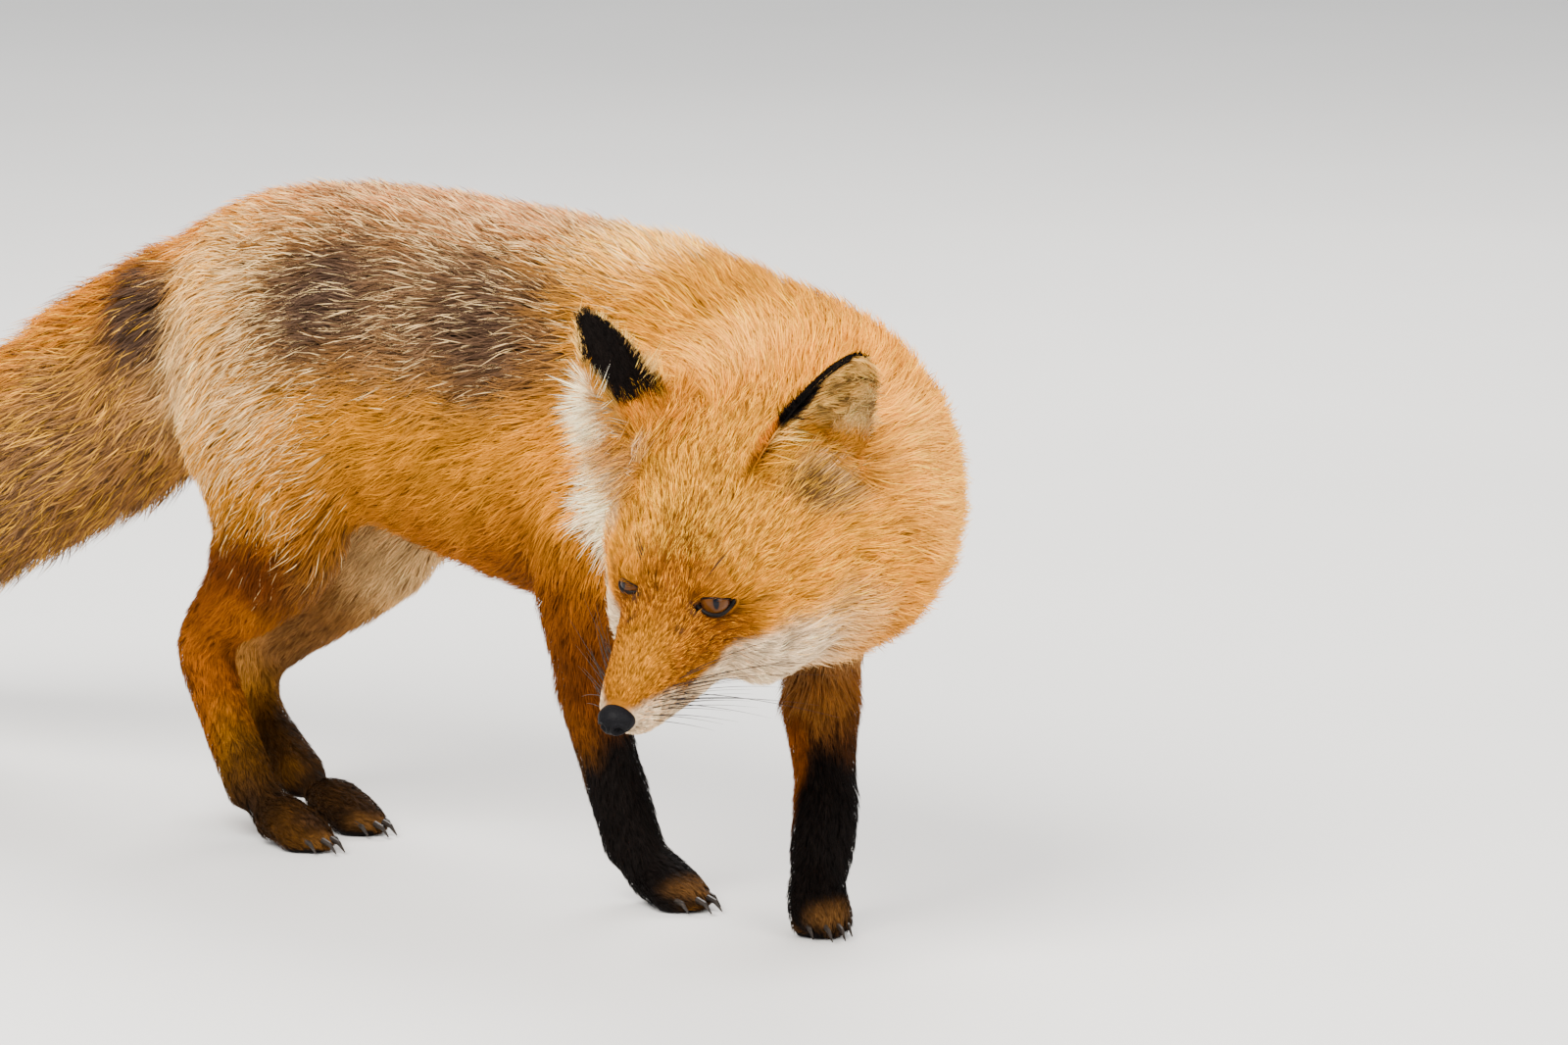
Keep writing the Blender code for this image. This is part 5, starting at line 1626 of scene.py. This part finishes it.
@dataclass
class Coat:
    """The whole coat: locks on the skin and on the ears, in a few joined pieces.

    Attributes:
        skin: The finished skin.
        eyes: The eyes, round which it thins out.
        material: The hair's finish.
        most: Most triangles of one piece.
    """

    skin: bpy.types.Object
    eyes: tuple
    material: bpy.types.Material
    most: int = 196_000

    def region_of(self, roots: np.ndarray) -> np.ndarray:
        """Give the number of the region that each root belongs to."""
        away = np.full((len(roots), len(REGIONS)), 9.0)
        for column, region in enumerate(REGIONS):
            solids = [points_of(frame["nodes"][node].data) for node in region.value]
            finder = finder_of(np.concatenate(solids))
            away[:, column] = np.fromiter((finder.find(root)[2] for root in roots), float, len(roots))
        return away.argmin(axis=1)

    def skin_pieces(self) -> list:
        """Grow the locks on the skin and sort them into pieces."""
        mesh = self.skin.data
        places, facing, triangles = points_of(mesh), normals_of(mesh), triangles_of(mesh)
        groom = Groom.at(places)
        bare = np.maximum(*(eye.bare(places) for eye in self.eyes))
        nose = np.linalg.norm(HEAD.read(places) / (0.0115, 0.0112, 0.0100) + (0.45, 0.0, 0.55), axis=1)
        crowd = groom.crowd * (1.0 - ramp(bare, 0.2, 0.6)) * ramp(nose, 0.9, 1.1)
        crowd = crowd * ramp(places[:, 2] + 0.004 * facing[:, 2], 0.001, 0.004)
        roots, ways = scatter(places, facing, triangles, crowd, SKIN_ROOTS)
        locks = Locks(roots, ways, Groom.at(roots), paint_marks(roots), SKIN_LOCKS)
        locks.comb_out(places, facing)
        region = self.region_of(roots)
        head, body, tail = HEAD.read(roots), BODY.read(roots), TAIL.read(roots)
        on = {item: region == REGIONS.index(item) for item in Region}
        on_head, on_trunk = on[Region.HEAD], on[Region.TRUNK]
        x = body[:, 0]
        about = np.array((0.0, 0.0, 0.26))
        # Each leg has a stretch of its own on the map.
        stretch = body[:, 2] + 0.16 * (x > 0.0) + 0.32 * (body[:, 1] > 0.0)
        legs = np.stack((stretch, body[:, 1], x), axis=1)
        plan = (
            ("head_coat_left", on_head & (head[:, 1] >= 0), LONG_CUT, head, "head_fur"),
            ("head_coat_right", on_head & (head[:, 1] < 0), LONG_CUT, head, "head_fur"),
            ("neck_coat", on[Region.NECK], LONG_CUT, head, "neck_fur"),
            ("fore_coat", on_trunk & (x > 0.045), LONG_CUT, body - about, "trunk_fur"),
            ("middle_coat", on_trunk & (x <= 0.045) & (x > -0.095), LONG_CUT, body - about, "trunk_fur"),
            ("rump_coat", on_trunk & (x <= -0.095), LONG_CUT, body - about, "trunk_fur"),
            ("tail_coat", on[Region.TAIL], LONG_CUT, tail, "tail_fur"),
            ("leg_coat", on[Region.LEGS], SHORT_CUT, legs, "fore_left_fur"),
        )
        return [self.make(locks, *row) for row in plan]

    def make(
        self, locks: Locks, name: str, mask: np.ndarray, cut: Cut, local: np.ndarray, slot: str
    ) -> bpy.types.Object:
        """Make one piece of the locks under a mask, thinned to the size limit."""
        chosen = np.flatnonzero(mask)
        each = 2 if cut is SHORT_CUT else 4
        limit = self.most // each
        if len(chosen) > limit:
            LOG.info("%s: thinned from %d to %d locks", name, len(chosen), limit)
            draw = np.random.default_rng(THINNING)
            chosen = np.sort(draw.choice(chosen, limit, replace=False))
        piece = locks.piece(name, cut, chosen, unwrap(local[chosen]))
        finish_piece(piece, self.material, slot)
        return piece

    def ear_piece(self, ear: Ear, skin: bpy.types.Object) -> bpy.types.Object:
        """Grow the locks of one ear."""
        mesh = skin.data
        places, facing, triangles = points_of(mesh), normals_of(mesh), triangles_of(mesh)
        crowd = ear.groom(places, facing).crowd
        roots, ways = scatter(places, facing, triangles, crowd, EAR_ROOTS + ear.side)
        colors = ear.colors(roots, ways)
        locks = Locks(roots, ways, ear.groom(roots, ways), colors, EAR_LOCKS + ear.side)
        locks.comb_out(places, facing)
        local = ear.axes.read(roots)[:, [2, 0, 1]]
        slot = "ear_" + ear.name + "_fur"
        return self.make(locks, "ear_coat_" + ear.name, np.ones(len(roots), bool), SHORT_CUT, local, slot)


# --------------------------------------------------------- nose, lips, whiskers
@dataclass
class Nose:
    """The nose leather, with its nostrils and the groove below them.

    Attributes:
        half_long: Half of its length.
        half_wide: Half of its width.
        half_tall: Half of its height.
        nostril_deep: Depth of the nostrils.
    """

    half_long: float = 0.0088
    half_wide: float = 0.0099
    half_tall: float = 0.0080
    nostril_deep: float = 0.0026

    def build(self) -> bpy.types.Object:
        """Shape the leather from a ball."""
        deselect()
        bpy.ops.mesh.primitive_uv_sphere_add(segments=96, ring_count=64, radius=1.0, location=(0, 0, 0))
        leather = bpy.context.active_object
        leather.name = "nose_leather_pad"
        ball = points_of(leather.data)
        ahead, side, up = ball.T
        wide = self.half_wide * (1.0 - 0.30 * ramp(-up, 0.1, 1.0)) * (1.0 - 0.10 * ramp(ahead, 0.2, 1.0))
        local = np.stack((ahead * self.half_long, side * wide, up * self.half_tall), axis=1)
        away = np.abs(side)
        pit = np.linalg.norm(np.stack((ahead - 0.82, away - 0.46, up + 0.08), axis=1), axis=1)
        start, end = np.array((0.74, 0.60, -0.14)), np.array((0.25, 0.93, -0.30))
        spot = np.stack((ahead, away, up), axis=1)
        along = np.clip((spot - start) @ (end - start) / ((end - start) @ (end - start)), 0.0, 1.0)
        slit = np.linalg.norm(spot - start - along[:, None] * (end - start), axis=1)
        dent = self.nostril_deep * (1.0 - ramp(pit, 0.12, 0.34))
        dent = np.maximum(dent, 0.0016 * (1.0 - ramp(slit, 0.03, 0.14)))
        groove = 0.0009 * np.exp(-((side / 0.07) ** 2)) * ramp(ahead, 0.2, 0.6) * (1.0 - ramp(up, 0.1, 0.5))
        swell = 0.0005 * np.exp(-(((pit - 0.40) / 0.10) ** 2))
        local = local + ball * (swell - dent - groove)[:, None]
        centre = box_middle("nose")
        move_points(leather.data, centre + local @ HEAD.turn.T)
        smooth_shading(leather)
        return leather


@dataclass
class Mouth:
    """The dark line of the lips along both sides of the muzzle.

    Attributes:
        front: Where it starts behind the nose tip, as a place along the skull.
        corner: Where it ends.
        front_up: Its height at the start.
        corner_up: Its height at the end.
        sag: How far it hangs between them.
        thick: Its radius at the start.
        count: Points along it.
    """

    front: float = -0.0085
    corner: float = -0.0700
    front_up: float = -0.0165
    corner_up: float = -0.0225
    sag: float = 0.0012
    thick: float = 0.00095
    count: int = 28

    def build(self, skin_tree: BVHTree, side: int) -> bpy.types.Object:
        """Lay one lip line on the skin."""
        path = []
        for share in np.linspace(0.0, 1.0, self.count):
            back = mix(self.front, self.corner, share)
            up = mix(self.front_up, self.corner_up, share) - self.sag * math.sin(math.pi * share)
            start = HEAD.place(back, side * 0.001, up)
            way = HEAD.way(0.0, side, -0.15)
            hit = skin_tree.ray_cast(Vector(start), Vector(way), 0.06)[0]
            if hit is not None:
                path.append(np.array(hit))
        path = np.array(path)
        shares = np.linspace(0.0, 1.0, len(path))
        radii = self.thick * np.clip(1.05 - shares**4, 0.12, 1.0)
        return tube("lip_" + side_name(side), path, radii, 8)


@dataclass
class Whiskers:
    """Stiff black hairs on the muzzle and over the eyes, thin and tapering.

    Attributes:
        rows: Rows on the upper lip.
        columns: Whiskers in each row.
        brows: Whiskers over the eye.
        thick: Radius at the root.
        points: Points along each.
    """

    rows: int = 4
    columns: int = 6
    brows: int = 3
    thick: float = 0.00030
    points: int = 14

    def hair(self, root: np.ndarray, way: np.ndarray, fall: np.ndarray, length: float) -> tuple:
        """Work out one curved whisker."""
        shares = np.linspace(0.0, 1.0, self.points)[:, None]
        path = root + way * shares * length + fall * (shares**2.2) * length * 0.30
        radii = self.thick * (1.0 - 0.88 * shares[:, 0])
        return tube_arrays(path, radii, 4, False)

    def build(self, skin_tree: BVHTree, side: int) -> bpy.types.Object:
        """Grow the whiskers of one side."""
        draw = np.random.default_rng(WHISKER_DRAWS + side)
        hairs = []
        for row in range(self.rows):
            for column in range(self.columns):
                back = -0.016 - 0.0052 * column + draw.normal(0.0, 0.0006)
                up = 0.0015 - 0.0040 * row + draw.normal(0.0, 0.0005)
                start = HEAD.place(back, 0.0, up)
                way = HEAD.way(0.0, side, -0.1)
                hit = skin_tree.ray_cast(Vector(start), Vector(way), 0.06)[0]
                if hit is None:
                    continue
                lie = np.array((-0.62 - 0.05 * column, side * 0.66, -0.02 - 0.11 * row))
                lie = lie + draw.normal(0.0, 0.07, 3)
                length = (0.034 + 0.009 * column) * draw.uniform(0.8, 1.15)
                fall = HEAD.way(-0.45, side * 0.05, -0.75)
                hairs.append(self.hair(np.array(hit), HEAD.way(*lie), fall, length))
        for number in range(self.brows):
            start = HEAD.place(-0.080 - 0.002 * number, side * 0.016, 0.020)
            lie = HEAD.way(-0.25 - 0.1 * number, side * (0.45 + 0.08 * number), 0.80)
            hit = skin_tree.ray_cast(Vector(start), Vector(HEAD.way(0.0, side * 0.15, 1.0)), 0.05)[0]
            if hit is not None:
                fall = HEAD.way(-0.9, 0.0, -0.1)
                hairs.append(self.hair(np.array(hit), lie, fall, 0.022 * draw.uniform(0.8, 1.2)))
        places, triangles = zip(*hairs)
        starts = np.cumsum([0] + [len(hair) for hair in places])
        triangles = [hair + start for hair, start in zip(triangles, starts)]
        name = "whiskers_" + side_name(side)
        return mesh_object(name, np.concatenate(places), np.concatenate(triangles))


# ------------------------------------------------------------------------ stage
@dataclass(frozen=True)
class Studio:
    """Camera, lights and floor.

    Attributes:
        azimuth: The camera's turn round the model, in degrees.
        elevation: Its height over the level, in degrees.
        distance: From the camera to the place it looks at.
        lens: Focal length in millimetres, on a sensor 36 mm wide.
        aim: The place it looks at, in the body's axes.
        floor_size: Length of the floor's sides.
        lamp_aim: The place the lamps face.
        lamp_distance: From them to it.
    """

    azimuth: float = 44.0
    elevation: float = 10.0
    distance: float = 5.0
    lens: float = 213.75
    aim: tuple = (0.1264, 0.0670, 0.2000)
    floor_size: float = 60.0
    lamp_aim: tuple = (0.05, 0.0, 0.2)
    lamp_distance: float = 3.0

    @staticmethod
    def hang(data: bpy.types.ID, aim: tuple, back: Vector, distance: float) -> bpy.types.Object:
        """Hang up a camera or a lamp.

        Args:
            data: The camera's or the lamp's settings.
            aim: The place it looks at, in the body's axes.
            back: The direction from that place to it.
            distance: How far away it is.

        Returns:
            The object.
        """
        item = bpy.data.objects.new(data.name, data)
        bpy.context.scene.collection.objects.link(item)
        item.location = Vector(BODY.place(*aim)) + back * distance
        item.rotation_euler = back.to_track_quat("Z", "Y").to_euler()
        return item

    def camera(self) -> None:
        """Set up the camera."""
        data = bpy.data.cameras.new("studio_camera")
        data.lens = self.lens
        data.sensor_width = 36.0
        data.clip_end = 100.0
        back = bearing(self.azimuth, self.elevation)
        bpy.context.scene.camera = self.hang(data, self.aim, back, self.distance)

    def lamp(self, name: str, back: Vector, size: float, power: float, warmth: tuple) -> None:
        """Add a soft lamp that faces the model from one side."""
        data = bpy.data.lights.new(name, "AREA")
        data.shape = "DISK"
        data.size = size
        data.energy = power
        data.color = warmth
        self.hang(data, self.lamp_aim, back, self.lamp_distance)

    def world(self) -> None:
        """Fill the room with pale light."""
        world = bpy.data.worlds.new("studio_world")
        world.use_nodes = True
        sky = world.node_tree.nodes["Background"]
        sky.inputs["Color"].default_value = (0.95, 0.97, 1.0, 1.0)
        sky.inputs["Strength"].default_value = 1.0
        bpy.context.scene.world = world

    def floor(self) -> None:
        """Lay the pale floor."""
        deselect()
        bpy.ops.mesh.primitive_plane_add(size=self.floor_size, location=(0.0, 0.0, -0.0002))
        floor = bpy.context.active_object
        floor.name = "studio_floor"
        bpy.ops.object.transform_apply(location=True, rotation=True, scale=True)
        floor.data.materials.append(FloorFinish().make())

    def build(self) -> None:
        """Set up the whole studio."""
        self.camera()
        self.world()
        self.floor()
        self.lamp("key_lamp", bearing(14.0, 44.0), 2.0, 225.0, (1.0, 0.97, 0.92))
        self.lamp("fill_lamp", bearing(88.0, 25.0), 2.6, 110.0, (1.0, 0.98, 0.95))
        self.lamp("rim_lamp", bearing(215.0, 48.0), 1.8, 120.0, (1.0, 0.97, 0.93))


def dress_claws() -> None:
    """Give every claw its horn."""
    horn = HornFinish().make()
    for name, node in frame["nodes"].items():
        if name.startswith("claw_"):
            node.data.materials.clear()
            node.data.materials.append(horn)
            LOG.info("%s: horn", name)


def build_fox() -> None:
    """Build every piece of the fox in order."""
    left_eye = Eye(1, gaze=(0.73, 0.50, 0.47))
    right_eye = Eye(-1, gaze=(0.82, -0.48, 0.32), half_long=0.0090, above=0.0018, below=0.0042)
    eyes = (left_eye, right_eye)
    left_ear = Ear(1, apart=0.041, turn=52.0)
    right_ear = Ear(-1, apart=0.056, turn=86.0, black_from=0.13, fringe=1.0)
    ears = (left_ear, right_ear)
    skin_finish = SkinFinish().make()
    skin = Skin(eyes, ears).build()
    finish_piece(skin, skin_finish, "trunk_fur", *FLESH)
    skin_tree = tree_of(skin)

    tissues = (
        SmoothFinish("lid_rim_finish", (0.003, 0.002, 0.002), (0.008, 0.006, 0.005), 0.42),
        SmoothFinish("lip_finish", (0.004, 0.003, 0.003), (0.014, 0.010, 0.009), 0.45),
        SmoothFinish("whisker_finish", (0.010, 0.008, 0.007), (0.030, 0.022, 0.018), 0.35),
    )
    rim_finish, lip_finish, whisker_finish = (tissue.make() for tissue in tissues)
    for eye in eyes:
        finish_piece(eye.build_ball(), eye.finish().make(), "eye_glass", "eye_" + eye.name)
        finish_piece(eye.build_rim(), rim_finish, "nose_leather")
    finish_piece(Nose().build(), LeatherFinish().make(), "nose_leather", "nose")
    for side in (1, -1):
        finish_piece(Mouth().build(skin_tree, side), lip_finish, "nose_leather")
        finish_piece(Whiskers().build(skin_tree, side), whisker_finish, "nose_leather")
    dress_claws()

    hair_finish = HairFinish().make()
    coat = Coat(skin, eyes, hair_finish)
    for ear in ears:
        ear_skin = ear.build()
        finish_piece(ear_skin, skin_finish, "ear_" + ear.name + "_fur", "ear_" + ear.name)
        coat.ear_piece(ear, ear_skin)
    coat.skin_pieces()
    apply_modifier(skin, "DECIMATE", {"ratio": SKIN_SHARE})
    LOG.info("fox_skin: thinned to %d faces", len(skin.data.polygons))


def main() -> None:
    """Build the fox and its studio."""
    logging.basicConfig(level=logging.INFO, format="%(message)s")
    deselect()
    Studio().build()
    build_fox()


if __name__ == "__main__":
    main()
